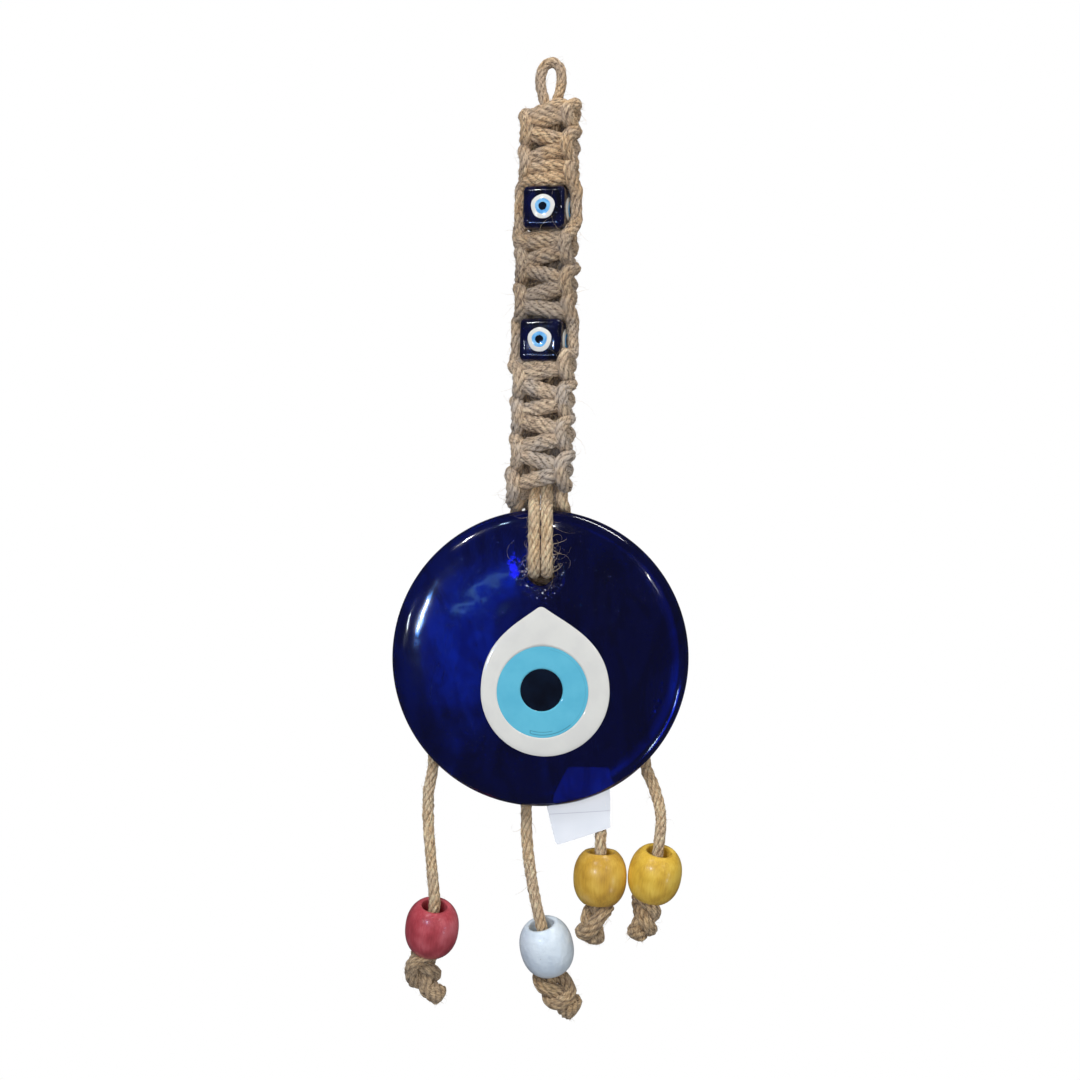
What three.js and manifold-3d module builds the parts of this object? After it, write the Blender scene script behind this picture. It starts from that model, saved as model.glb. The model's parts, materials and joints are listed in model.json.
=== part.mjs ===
// Evil eye ornament: a knotted jute strap with two glass cube beads, a cobalt glass disc with
// a fused eye, and four cord tails that each carry a wooden bead above an end knot.
//
// Millimetres, +Z up. The eye faces -Y. The origin is the point inside the top of the hanging
// loop that rests on the nail. Soft cord is held as plain tubes and blocks of its outer shape.

import * as THREE from 'three';
import { RoundedBoxGeometry } from 'three/addons/geometries/RoundedBoxGeometry.js';
import { mergeVertices } from 'three/addons/utils/BufferGeometryUtils.js';
import Module from 'manifold-3d';

const wasm = await Module();
wasm.setup();

// ---------------------------------------------------------------- driving dimensions

const GAP = 0.3;                // left between pieces that touch
const CORD_D = 3.5;             // jute cord, lying free
const TIGHT_D = 3.0;            // the same cord pulled tight in the strap

const STRAP_LEAN = 1.42;        // degrees the strap hangs off the vertical, bottom to the left
const STRAP_TURN = -14;         // degrees the strap is turned about its own length
const STRAP_HALF = 10;          // half the width of the knotwork
const STRAP_THICK = 8.4;
const KNOT_PITCH = 10.7;        // one square knot
const KNOT_NOTCH = 1.1;         // depth of the dips between the bumps of the knotwork's edges
const KNOT_ROUND = 3.5;         // how far in its rounded edges reach
const KNOT_START = 12.4;        // from the origin down to the first knot
const UPPER_LENGTH = 24.4;      // three stretches of knotwork
const MIDDLE_LENGTH = 27.0;
const LOWER_LENGTH = 40.1;
const UPPER_FIRST = 1.6;        // from a stretch's top down to the middle of its first right-hand bump
const MIDDLE_FIRST = 5.1;
const LOWER_FIRST = 0.2;

const CUBE = 12.4;              // glass cube bead
const CUBE_ROUND = 2.2;
const CUBE_HOLE_R = 3.6;
const DOT_DEPTH = 1.0;
const DOT_WHITE_R = 3.65;
const DOT_BLUE_R = 2.35;
const DOT_PUPIL_R = 1.25;
const DOT_GAP = 0.15;

const DISC_R = 45;
const DISC_THICK = 9;
const DISC_X = -3.34;           // the disc hangs below the strap's lower end
const DISC_Z = -179.3;
const HOLE_R = 4.7;
const HOLE_Z = 24.9;            // above the disc's centre
const CRATER_R = 7;
const CRATER_DEPTH = 2;

const EYE_DEPTH = 1.7;          // thickness of the fused eye
const EYE_X = 1.4;              // centre of the white drop, from the disc's centre
const EYE_Z = -10;
const EYE_R = 19.4;
const EYE_TIP_X = -1.2;         // the drop's tip, from the drop's centre
const EYE_TIP_Z = 26.1;
const EYE_TIP_SLOPE = 36;       // degrees below the level at which the outline leaves the tip
const IRIS_X = 0.6;
const IRIS_R = 13.8;
const PUPIL_X = 0.3;
const PUPIL_Z = -9.4;
const PUPIL_R = 6.4;

const WOOD_R = 8.2;             // wooden bead, barrel shaped
const WOOD_LENGTH = 16;
const WOOD_END_R = 5.1;
const WOOD_HOLE_R = 3.9;

const LABEL_THICK = 0.3;

// Worked out from the driving dimensions.
const radians = THREE.MathUtils.degToRad;
const RIM_R = DISC_THICK / 2;                     // the rim is half round
const PATH_R = RIM_R + GAP + CORD_D / 2;          // a cord's centre line over the rim
const BACK_Y = PATH_R;                            // and down the disc's back
const CUBE_UPPER_Z = -(KNOT_START + UPPER_LENGTH + GAP + CUBE / 2);
const MIDDLE_START = KNOT_START + UPPER_LENGTH + CUBE + 2 * GAP;
const CUBE_LOWER_Z = -(MIDDLE_START + MIDDLE_LENGTH + GAP + CUBE / 2);
const LOWER_START = MIDDLE_START + MIDDLE_LENGTH + CUBE + 2 * GAP;
const STRAP_END = LOWER_START + LOWER_LENGTH;
const CORE_X = (TIGHT_D + GAP) / 2;               // the two core strands lie side by side

// ---------------------------------------------------------------- materials

function material(color, roughness, options = {}) {
  return new THREE.MeshStandardMaterial({ color, roughness, metalness: 0, ...options });
}

const jute = () => material(0xb39468, 0.9);
const cobaltGlass = () => material(0x05083f, 0.08);
const whiteGlass = () => material(0xe4e4df, 0.2);
const lightBlueGlass = () => material(0x62b8da, 0.2);
const blackGlass = () => material(0x0a1626, 0.15);
const stainedWood = (color) => material(color, 0.45);
const paper = () => material(0xe2e6ec, 0.8);

// ---------------------------------------------------------------- helpers

function named(name, geometry, skin) {
  const mesh = new THREE.Mesh(geometry, skin);
  mesh.name = name;
  return mesh;
}

function solidOf(geometry) {
  const bare = geometry.clone();
  bare.deleteAttribute('normal');
  bare.deleteAttribute('uv');
  const merged = mergeVertices(bare, 1e-3);
  return new wasm.Manifold(new wasm.Mesh({
    numProp: 3,
    vertProperties: merged.getAttribute('position').array,
    triVerts: new Uint32Array(merged.index.array),
  }));
}

function geometryOf(solid) {
  const mesh = solid.getMesh();
  const geometry = new THREE.BufferGeometry();
  geometry.setAttribute('position', new THREE.BufferAttribute(mesh.vertProperties, 3));
  geometry.setIndex(new THREE.BufferAttribute(mesh.triVerts, 1));
  geometry.computeVertexNormals();
  return geometry;
}

function cut(geometry, ...tools) {
  return geometryOf(tools.reduce((left, tool) => left.subtract(solidOf(tool)), solidOf(geometry)));
}

function join(...geometries) {
  return geometryOf(geometries.map(solidOf).reduce((all, next) => all.add(next)));
}

function polygon(radius, sides) {
  const corners = [];
  for (let i = 0; i < sides; i += 1) {
    const angle = (2 * Math.PI * (i + 0.5)) / sides;
    corners.push(new THREE.Vector2(radius * Math.cos(angle), radius * Math.sin(angle)));
  }
  return new THREE.Shape(corners);
}

// A cord along a smooth line through the points.
function cord(points, diameter, steps) {
  const path = new THREE.CatmullRomCurve3(points, false, 'centripetal');
  const section = polygon(diameter / 2, 8);
  return new THREE.ExtrudeGeometry(section, { steps, bevelEnabled: false, extrudePath: path });
}

const at = (x, y, z) => new THREE.Vector3(x, y, z);

// A ring or disc lying against a front face at y = 0, reaching back to y = depth.
function coin(outer, inner, depth, segments) {
  const profile = [[inner, 0], [outer, 0], [outer, depth], [inner, depth]];
  if (inner > 0) profile.push([inner, 0]);
  return new THREE.LatheGeometry(profile.map(([r, y]) => new THREE.Vector2(r, y)), segments);
}

// A flat shape drawn in X and Z, from y = front back to y = front + depth.
function plate(shape, front, depth, curveSegments) {
  return new THREE.ExtrudeGeometry(shape, { depth, bevelEnabled: false, curveSegments })
    .rotateX(Math.PI / 2)
    .translate(0, front + depth, 0);
}

// An upright round bar from z = bottom to z = top.
function uprightBar(radius, bottom, top, segments) {
  return new THREE.CylinderGeometry(radius, radius, top - bottom, segments)
    .rotateX(Math.PI / 2)
    .translate(0, 0, (bottom + top) / 2);
}

// ---------------------------------------------------------------- knotted strap

const strap = new THREE.Group();
strap.rotation.set(0, radians(STRAP_LEAN), radians(STRAP_TURN), 'YZX');
strap.updateMatrixWorld(true);
const strapInverse = strap.matrixWorld.clone().invert();

// A point beside the disc's top rim, seen from the strap's own frame. The angle is from
// straight up over the rim, and positive towards the front.
function rimPoint(x, angle) {
  const y = -PATH_R * Math.sin(radians(angle));
  const z = DISC_Z + DISC_R - RIM_R + PATH_R * Math.cos(radians(angle));
  return at(DISC_X + x, y, z).applyMatrix4(strapInverse);
}

// One cord folded double: the hanging loop, and two strands down through the strap that
// bend forward over the disc's rim.
function coreCord() {
  const loopTop = TIGHT_D / 2;
  const right = [
    at(CORE_X, 0, -KNOT_START - 3), at(1.8, 0, -11), at(2.9, 0, -7), at(3.3, 0, -3.4), at(2.4, 0, 0),
  ];
  const left = right.map((p) => at(-p.x, p.y, p.z)).reverse();
  const loop = cord([...right, at(0, 0, loopTop), ...left], TIGHT_D, 32);
  const strands = [-1, 1].map((side) => uprightBar(TIGHT_D / 2, -STRAP_END, -KNOT_START - 2, 10)
    .translate(side * CORE_X, 0, 0));
  const ends = [-1, 1].map((side) => cord([
    at(side * CORE_X, 0, -STRAP_END + 0.6),
    rimPoint(side * CORE_X, 0),
    rimPoint(side * (CORE_X + 0.1), 10),
    rimPoint(side * (CORE_X + 0.2), 18),
  ], TIGHT_D, 6));
  return join(loop, ...strands, ...ends);
}

// A stretch of square knots. Each edge has one bump per knot, and the right edge's bumps
// lie half a knot below the left edge's.
function knotwork(start, length, first) {
  const samples = Math.round((6 * length) / KNOT_PITCH);
  const edge = (side) => Array.from({ length: samples + 1 }, (_, i) => {
    const down = (length * i) / samples;
    const phase = (Math.PI * (down - first)) / KNOT_PITCH + (side > 0 ? Math.PI / 2 : 0);
    const dip = KNOT_NOTCH * Math.cos(phase) ** 4;
    return new THREE.Vector2(side * (STRAP_HALF - dip), -start - down);
  });
  const outline = new THREE.Shape([...edge(-1), ...edge(1).reverse()]);
  const section = new THREE.Shape();
  const [flat, half] = [STRAP_HALF - KNOT_ROUND, STRAP_THICK / 2];
  section.absellipse(flat, 0, KNOT_ROUND, half, -Math.PI / 2, Math.PI / 2, false);
  section.absellipse(-flat, 0, KNOT_ROUND, half, Math.PI / 2, (3 * Math.PI) / 2, false);
  const bar = new THREE.ExtrudeGeometry(section, { depth: length, bevelEnabled: false, curveSegments: 8 })
    .translate(0, 0, -start - length);
  const slab = plate(outline, -STRAP_THICK, 2 * STRAP_THICK, 1);
  const block = geometryOf(solidOf(bar).intersect(solidOf(slab)));
  const channels = [-1, 1].map((side) => uprightBar(
    TIGHT_D / 2 + GAP, -start - length - 1, -start + 1, 12,
  ).translate(side * CORE_X, 0, 0));
  return { block, channels };
}

// The last stretch also has the two ends of the knotting cord, which turn back over the rim.
function lowerKnotwork() {
  const { block, channels } = knotwork(LOWER_START, LOWER_LENGTH, LOWER_FIRST);
  const ends = [-1, 1].map((side) => cord([
    at(side * 6.6, 0, -STRAP_END + 3),
    rimPoint(side * 6.8, -2),
    rimPoint(side * 7.2, -10),
    rimPoint(side * 7.6, -18),
  ], TIGHT_D, 6));
  return geometryOf(solidOf(cut(block, ...channels)).add(solidOf(join(...ends))));
}

function strapStretch(start, length, first) {
  const { block, channels } = knotwork(start, length, first);
  return cut(block, ...channels);
}

strap.add(named('core_cord', coreCord(), jute()));
strap.add(named('knotwork_upper', strapStretch(KNOT_START, UPPER_LENGTH, UPPER_FIRST), jute()));
strap.add(named('knotwork_middle', strapStretch(MIDDLE_START, MIDDLE_LENGTH, MIDDLE_FIRST), jute()));
strap.add(named('knotwork_lower', lowerKnotwork(), jute()));

// The knotting cord runs straight down on each side of a cube bead.
const sideCordX = STRAP_HALF - TIGHT_D / 2;
for (const [level, z] of [['upper', CUBE_UPPER_Z], ['lower', CUBE_LOWER_Z]]) {
  for (const [hand, side] of [['left', -1], ['right', 1]]) {
    const run = uprightBar(TIGHT_D / 2, z - CUBE / 2, z + CUBE / 2, 10).translate(side * sideCordX, 0, 0);
    strap.add(named(`side_cord_${level}_${hand}`, run, jute()));
  }
}

// ---------------------------------------------------------------- cube beads

const DOT_LAYERS = [
  { layer: 'white', outer: DOT_WHITE_R, inner: DOT_BLUE_R + DOT_GAP, skin: whiteGlass },
  { layer: 'blue', outer: DOT_BLUE_R, inner: DOT_PUPIL_R + DOT_GAP, skin: lightBlueGlass },
  { layer: 'pupil', outer: DOT_PUPIL_R, inner: 0, skin: blackGlass },
];
const CUBE_FACES = [['front', 0], ['right', 90], ['back', 180], ['left', 270]];

// Turns something made on the cube's front face round to another upright face.
function ontoFace(geometry, degrees) {
  return geometry.translate(0, -CUBE / 2, 0).rotateZ(radians(degrees));
}

function cubeBead(level, z) {
  const bead = new THREE.Group();
  bead.position.z = z;
  const box = new RoundedBoxGeometry(CUBE, CUBE, CUBE, 2, CUBE_ROUND);
  const hole = uprightBar(CUBE_HOLE_R, -CUBE, CUBE, 20);
  const recesses = CUBE_FACES.map(([, turn]) => ontoFace(
    coin(DOT_WHITE_R + DOT_GAP, 0, 2 * (DOT_DEPTH + DOT_GAP), 20).translate(0, -DOT_DEPTH - DOT_GAP, 0), turn,
  ));
  bead.add(named(`cube_bead_${level}`, cut(box, hole, ...recesses), cobaltGlass()));
  for (const [face, turn] of CUBE_FACES) {
    for (const { layer, outer, inner, skin } of DOT_LAYERS) {
      const dot = ontoFace(coin(outer, inner, DOT_DEPTH, 14), turn);
      bead.add(named(`cube_${level}_${face}_${layer}`, dot, skin()));
    }
  }
  return bead;
}

strap.add(cubeBead('upper', CUBE_UPPER_Z));
strap.add(cubeBead('lower', CUBE_LOWER_Z));

// ---------------------------------------------------------------- glass disc and its eye

// The white drop: an arc round its lower side, and two curves that meet in a blunt tip.
function dropShape(grow) {
  const radius = EYE_R + grow;
  const slope = radians(EYE_TIP_SLOPE);
  const tip = new THREE.Vector2(EYE_TIP_X, EYE_TIP_Z + 1.25 * grow);
  const blunt = 1.6;
  const reach = 10.5;
  const shoulder = 15.2;
  const along = (side, far) => new THREE.Vector2(
    tip.x + side * far * Math.cos(slope), tip.y - far * Math.sin(slope),
  );
  const shape = new THREE.Shape();
  const [leftTip, rightTip] = [along(-1, blunt), along(1, blunt)];
  const [leftReach, rightReach] = [along(-1, reach), along(1, reach)];
  shape.moveTo(leftTip.x, leftTip.y);
  shape.bezierCurveTo(leftReach.x, leftReach.y, -radius, shoulder, -radius, 0);
  shape.absarc(0, 0, radius, Math.PI, 2 * Math.PI, false);
  shape.bezierCurveTo(radius, shoulder, rightReach.x, rightReach.y, rightTip.x, rightTip.y);
  shape.quadraticCurveTo(tip.x, tip.y, leftTip.x, leftTip.y);
  return shape;
}

function discBlank() {
  const profile = [new THREE.Vector2(0, -RIM_R)];
  const arcSteps = 8;
  for (let i = 0; i <= arcSteps; i += 1) {
    const angle = (Math.PI * i) / arcSteps;
    profile.push(new THREE.Vector2(DISC_R - RIM_R + RIM_R * Math.sin(angle), -RIM_R * Math.cos(angle)));
  }
  profile.push(new THREE.Vector2(0, RIM_R));
  return new THREE.LatheGeometry(profile, 56);
}

function glassDisc() {
  const hole = coin(HOLE_R, 0, 2 * DISC_THICK, 24).translate(0, -DISC_THICK, HOLE_Z);
  const crater = new THREE.CylinderGeometry(HOLE_R, 2 * CRATER_R - HOLE_R, 2 * CRATER_DEPTH, 24)
    .translate(0, -RIM_R, HOLE_Z);
  const socket = plate(dropShape(GAP), -RIM_R - 1, EYE_DEPTH + GAP + 1, 14).translate(EYE_X, 0, EYE_Z);
  return cut(discBlank(), hole, crater, socket);
}

function eyeLayer(outline, centre, hollow) {
  if (hollow) outline.holes.push(hollow);
  return plate(outline, -RIM_R, EYE_DEPTH, 14).translate(centre.x, 0, centre.y);
}

function circle(x, z, radius) {
  return new THREE.Path().absarc(x, z, radius, 0, 2 * Math.PI, true);
}

function disk(radius) {
  return new THREE.Shape().absarc(0, 0, radius, 0, 2 * Math.PI, false);
}

const disc = new THREE.Group();
disc.position.set(DISC_X, 0, DISC_Z);
disc.add(named('glass_disc', glassDisc(), cobaltGlass()));

const irisHole = circle(IRIS_X - EYE_X, 0, IRIS_R + DOT_GAP);
const pupilHole = circle(PUPIL_X - IRIS_X, PUPIL_Z - EYE_Z, PUPIL_R + DOT_GAP);
const whiteAt = new THREE.Vector2(EYE_X, EYE_Z);
const irisAt = new THREE.Vector2(IRIS_X, EYE_Z);
const pupilAt = new THREE.Vector2(PUPIL_X, PUPIL_Z);
disc.add(named('eye_white', eyeLayer(dropShape(0), whiteAt, irisHole), whiteGlass()));
disc.add(named('eye_iris', eyeLayer(disk(IRIS_R), irisAt, pupilHole), lightBlueGlass()));
disc.add(named('eye_pupil', eyeLayer(disk(PUPIL_R), pupilAt), blackGlass()));

// ---------------------------------------------------------------- cords held by the disc

// A point on the path over the disc's top rim, in the disc's frame.
function overRim(x, angle) {
  const rimCentre = Math.sqrt((DISC_R - RIM_R) ** 2 - x ** 2);
  return at(x, -PATH_R * Math.sin(radians(angle)), rimCentre + PATH_R * Math.cos(radians(angle)));
}

// The core cord's ends run down the disc's face, turn into its hole and reach the knot behind.
for (const [hand, side] of [['left', -1], ['right', 1]]) {
  const x = side * (CORD_D + GAP) / 2;
  const route = [
    overRim(x, 48), overRim(x, 68), at(x, -BACK_Y, 39.5), at(x, -BACK_Y, 35), at(x, -BACK_Y, 31),
    at(x, -6, 28.6), at(x, -4, 26.9), at(x, -1, 26.4), at(x, 2, 26.4), at(x, 4.9, 26.4),
  ];
  disc.add(named(`front_strand_${hand}`, cord(route, CORD_D, 16), jute()));
}

// A knot: a rounded lump, with or without a cord end standing out of it.
function lump(centre, radii) {
  return new THREE.SphereGeometry(1, 14, 9).scale(radii.x, radii.y, radii.z)
    .translate(centre.x, centre.y, centre.z);
}

const STOPPER = { centre: at(0, 10, 24), radii: at(7.4, 4.7, 7) };
disc.add(named('stopper_knot', lump(STOPPER.centre, STOPPER.radii), jute()));

// Each tail: where its cord runs behind the disc, where it leaves the disc's lower rim, how it
// hangs, the bead's centre and lean, and the end knot. All in the disc's frame.
const TAILS = [
  {
    colour: 'red',
    wood: 0x9c2a30,
    behind: [
      overRim(-7.6, -48), overRim(-8.6, -68), overRim(-10.6, -90), at(-18.4, BACK_Y, 27), at(-26, BACK_Y, 12),
      at(-30.8, BACK_Y, -4), at(-33, BACK_Y, -20),
    ],
    exit: at(-32.95, BACK_Y, -33.4),
    hang: [at(-34.4, 6.1, -42), at(-34.3, 5, -52), at(-33.6, 3.9, -60), at(-32.9, 3.3, -68), at(-32.4, 3.6, -74)],
    bead: at(-33.3, 5.6, -83.2),
    last: at(-34.6, 7.9, -91),
    tilt: 20,
    knot: { centre: at(-36.3, 9, -96.6), radii: at(6.3, 4.9, 5.3) },
    stub: { tip: at(-30.2, 9.6, -105.8), radius: 3.1 },
  },
  {
    colour: 'white',
    wood: 0xd6dde6,
    behind: [
      at(-2.6, 8.6, 16.6), at(-3.6, 6.9, 10), at(-4.3, BACK_Y, -8), at(-4.6, BACK_Y, -26),
    ],
    exit: at(-4.4, BACK_Y, -45.6),
    hang: [at(-4.3, 6.3, -53), at(-3.6, 5.4, -62), at(-2.4, 4.4, -70), at(-0.6, 3.9, -78.5)],
    bead: at(1.9, 5.7, -89),
    last: at(3.5, 7.7, -97),
    tilt: 17,
    knot: { centre: at(4.2, 8.6, -101.9), radii: at(5.4, 4.7, 4.6) },
    stub: { tip: at(10.2, 9.2, -109), radius: 3.1 },
  },
  {
    colour: 'ochre',
    wood: 0xb98a2c,
    behind: [
      at(2.8, 8.8, 16.6), at(5.2, 7.6, 9), at(10, 7.4, -8), at(15, 7.4, -25),
    ],
    exit: at(18.4, 7.4, -42),
    hang: [at(18.4, 7.3, -47), at(18.4, 7.1, -52), at(18.5, 6.9, -57)],
    bead: at(18.3, 7.1, -67.9),
    last: at(17.9, 7.8, -76),
    tilt: 4,
    knot: { centre: at(16.6, 8.2, -80.9), radii: at(5.5, 4.7, 4.6) },
    stub: { tip: at(15.6, 8.6, -88.4), radius: 3.2 },
  },
  {
    colour: 'yellow',
    wood: 0xcf9f2e,
    behind: [
      overRim(7.6, -48), overRim(8.6, -68), overRim(10.6, -90), at(17, BACK_Y, 28), at(24.4, BACK_Y, 11),
      at(29.6, BACK_Y, -8), at(31.9, BACK_Y, -24),
    ],
    exit: at(32.4, BACK_Y, -34),
    hang: [at(34.6, 6.2, -39.5), at(36.3, 5.5, -45), at(36.9, 4.8, -50.5), at(36.4, 4.3, -56)],
    bead: at(35.1, 6, -66.8),
    last: at(33.4, 7.7, -74.4),
    tilt: 17,
    knot: { centre: at(32.4, 8.4, -79.2), radii: at(5.3, 4.6, 4.4) },
    stub: { tip: at(30.9, 8.8, -87.2), radius: 3.4 },
  },
];

// The cord's slack at the exit lets the tail swing without its end meeting the run above.
const RUN_STOP = 0.2;
const TAIL_START = 1.5;

function woodBead(direction) {
  const profile = [new THREE.Vector2(WOOD_HOLE_R, -WOOD_LENGTH / 2)];
  const steps = 10;
  const fullness = 2.3;
  const share = 1 - (WOOD_END_R / WOOD_R) ** fullness;
  for (let i = 0; i <= steps; i += 1) {
    const t = (2 * i) / steps - 1;
    const radius = WOOD_R * (1 - share * Math.abs(t) ** fullness) ** (1 / fullness);
    profile.push(new THREE.Vector2(radius, (t * WOOD_LENGTH) / 2));
  }
  profile.push(new THREE.Vector2(WOOD_HOLE_R, WOOD_LENGTH / 2), profile[0].clone());
  const turn = new THREE.Quaternion().setFromUnitVectors(at(0, 1, 0), direction);
  return new THREE.LatheGeometry(profile, 24).applyQuaternion(turn);
}

// A point the given distance from one point towards another.
function towards(from, to, distance) {
  return to.clone().sub(from).setLength(distance).add(from);
}

function endKnot({ centre, radii }, { tip, radius }) {
  const length = tip.distanceTo(centre);
  const turn = new THREE.Quaternion().setFromUnitVectors(at(0, -1, 0), tip.clone().sub(centre).normalize());
  const middle = centre.clone().lerp(tip, 0.5);
  const stub = new THREE.CylinderGeometry(radius * 0.8, radius, length, 10)
    .applyQuaternion(turn)
    .translate(middle.x, middle.y, middle.z);
  return join(lump(centre, radii), stub);
}

for (const tail of TAILS) {
  const { colour, exit, hang, bead, last, knot } = tail;
  const stop = exit.clone().setZ(exit.z + RUN_STOP);
  disc.add(named(`rear_run_${colour}`, cord([...tail.behind, stop], CORD_D, 20), jute()));

  const start = towards(exit, hang[0], TAIL_START);
  const route = [start, ...hang, bead, last];
  disc.add(named(`tail_cord_${colour}`, cord(route, CORD_D, 18), jute()));

  const lean = last.clone().sub(hang.at(-1)).multiplyScalar(-1).setY(0).normalize();
  const direction = lean.setY(-Math.tan(radians(tail.tilt))).normalize();
  const wood = named(`wood_bead_${colour}`, woodBead(direction), stainedWood(tail.wood));
  wood.position.copy(bead);
  disc.add(wood);
  disc.add(named(`end_knot_${colour}`, endKnot(knot, tail.stub), jute()));
}

// ---------------------------------------------------------------- price label

// A stiff paper label folded round the ochre cord, standing in front of it.
function priceLabel() {
  const corners = [[8.4, -33.1], [20.6, -33.1], [21.4, -43], [21.4, -52.4], [5.6, -57.6], [4.6, -56.9], [1.7, -44.9]];
  const outline = new THREE.Shape(corners.map(([x, z]) => new THREE.Vector2(x, z)));
  return plate(outline, RIM_R + GAP, LABEL_THICK, 1);
}

disc.add(named('price_label', priceLabel(), paper()));

const ornament = new THREE.Group();
ornament.add(strap, disc);
export default ornament;
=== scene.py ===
"""Evil eye ornament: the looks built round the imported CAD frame.

Shapes are worked out in millimetres in the CAD's frame (+Z up, the eye faces -Y, the origin is the
inside of the hanging loop) and turned into metres when a mesh is made.
"""

import json
import math

import bmesh
import bpy
import numpy as np
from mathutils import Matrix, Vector

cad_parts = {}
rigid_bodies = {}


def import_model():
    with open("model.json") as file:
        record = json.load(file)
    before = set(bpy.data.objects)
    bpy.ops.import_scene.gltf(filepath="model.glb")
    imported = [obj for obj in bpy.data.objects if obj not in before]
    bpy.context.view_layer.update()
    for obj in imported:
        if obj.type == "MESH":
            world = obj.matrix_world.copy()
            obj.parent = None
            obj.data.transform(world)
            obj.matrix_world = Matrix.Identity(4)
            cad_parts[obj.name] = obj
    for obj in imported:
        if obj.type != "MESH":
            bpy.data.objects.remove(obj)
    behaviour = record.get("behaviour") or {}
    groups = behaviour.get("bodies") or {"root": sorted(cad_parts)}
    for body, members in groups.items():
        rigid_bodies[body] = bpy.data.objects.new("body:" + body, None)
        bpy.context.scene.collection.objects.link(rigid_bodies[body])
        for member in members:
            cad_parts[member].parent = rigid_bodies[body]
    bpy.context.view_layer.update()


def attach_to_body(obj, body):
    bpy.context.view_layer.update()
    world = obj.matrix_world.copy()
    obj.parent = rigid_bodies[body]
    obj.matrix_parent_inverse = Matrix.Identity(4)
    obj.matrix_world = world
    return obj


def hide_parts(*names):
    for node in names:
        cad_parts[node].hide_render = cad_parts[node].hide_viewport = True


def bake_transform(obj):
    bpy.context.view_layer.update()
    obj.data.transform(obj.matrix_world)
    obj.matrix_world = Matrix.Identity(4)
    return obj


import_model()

MM = 0.001

# ---- sizes, in millimetres

CORD_D = 3.5                 # jute cord, lying free
TIGHT_D = 3.2                # pulled tight, in the hanging loop
HITCH_D = 4.3                # the knotting cord's two halves, swollen by their loose lay
WRAP_D = 5.0
PLIES = 6
LAY = 17.0                   # one turn of a ply
GROOVE = 0.25                # depth of the groove between plies, as a share of the radius
RING_STEP = 0.5              # between a cord's rings of vertices
RING_SIDES = 42

STRAP_LEAN = 1.42            # degrees
STRAP_TURN = -14.0
KNOTS = {        # per stretch: first bump's middle, half knots' spacing and count, bumps' X, cube below
    "upper": (14.0, 5.2, 4, 6.9, "upper"),
    "middle": (55.0, 5.55, 4, 7.4, "lower"),
    "lower": (90.2, 5.38, 8, 7.4, None),
}
STRAP_END = 129.9
CUBES = {"upper": -43.3, "lower": -83.3}
CUBE = 13.1
CUBE_ROUND = 1.9
CUBE_HOLE_R = 3.6

DISC_AT = np.array([-3.34, 0.0, -179.3])
DISC_R = 45.0
HALF_THICK = 4.5
RIM_CENTRE = DISC_R - HALF_THICK
PATH_R = 6.55                # a cord's centre line over the rim
BACK = PATH_R
HOLE_R = 4.0
HOLE_AT = np.array([0.0, 25.9])
CRATER_R = 7.6
CRATER_DEPTH = 1.4

EYE_AT = np.array([1.4, -10.0])
EYE_R = 19.4
EYE_TIP = np.array([-1.2, 26.1])
IRIS_AT, IRIS_R = np.array([0.6, -10.0]), 13.8
PUPIL_AT, PUPIL_R = np.array([0.3, -9.4]), 6.4
EYE_DEPTH = 1.7
EYE_SIDES = 240

BEAD_R = 8.2
BEAD_LENGTH = 16.0
BEAD_END_R = 5.1
BEAD_HOLE_R = 3.9

VIEW_CENTRE = np.array([-3.49, 0.0, -143.5])
VIEW_WIDTH = 328.0
VIEW_DISTANCE = 550.0


# ---- small maths

def unit(v):
    v = np.asarray(v, float)
    return v / np.linalg.norm(v, axis=-1, keepdims=True)


def turn_about(axis, degrees):
    """The 3x3 matrix of a turn about X, Y or Z."""
    c, s = math.cos(math.radians(degrees)), math.sin(math.radians(degrees))
    return np.array({
        "X": [[1, 0, 0], [0, c, -s], [0, s, c]],
        "Y": [[c, 0, s], [0, 1, 0], [-s, 0, c]],
        "Z": [[c, -s, 0], [s, c, 0], [0, 0, 1]],
    }[axis])


STRAP = turn_about("Y", STRAP_LEAN) @ turn_about("Z", STRAP_TURN)


def from_strap(points):
    return np.asarray(points, float) @ STRAP.T


def from_disc(points):
    return np.asarray(points, float) + DISC_AT


def over_rim(x, angle):
    """A point on the path over the disc's top rim, in its frame; positive angles are to the front."""
    a = math.radians(angle)
    height = math.sqrt(RIM_CENTRE ** 2 - x ** 2)
    return (x, -PATH_R * math.sin(a), height + PATH_R * math.cos(a))


def lengths_along(points):
    """The length of a line of points, up to each of them."""
    return np.concatenate([[0], np.cumsum(np.linalg.norm(np.diff(points, axis=0), axis=1))])


def points_at(points, along, want):
    """The points of a line at the wanted lengths along it."""
    return np.column_stack([np.interp(want, along, column) for column in points.T])


def even_outline(outline, count):
    """A closed outline as evenly spaced points."""
    closed = np.vstack([outline, outline[:1]])
    along = lengths_along(closed)
    return points_at(closed, along, np.linspace(0, along[-1], count, endpoint=False))


def circle(count):
    """The angles of evenly spaced points of a circle, and the points of the unit circle there."""
    a = np.linspace(0, 2 * np.pi, count, endpoint=False)
    return a, np.column_stack([np.cos(a), np.sin(a)])


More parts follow.
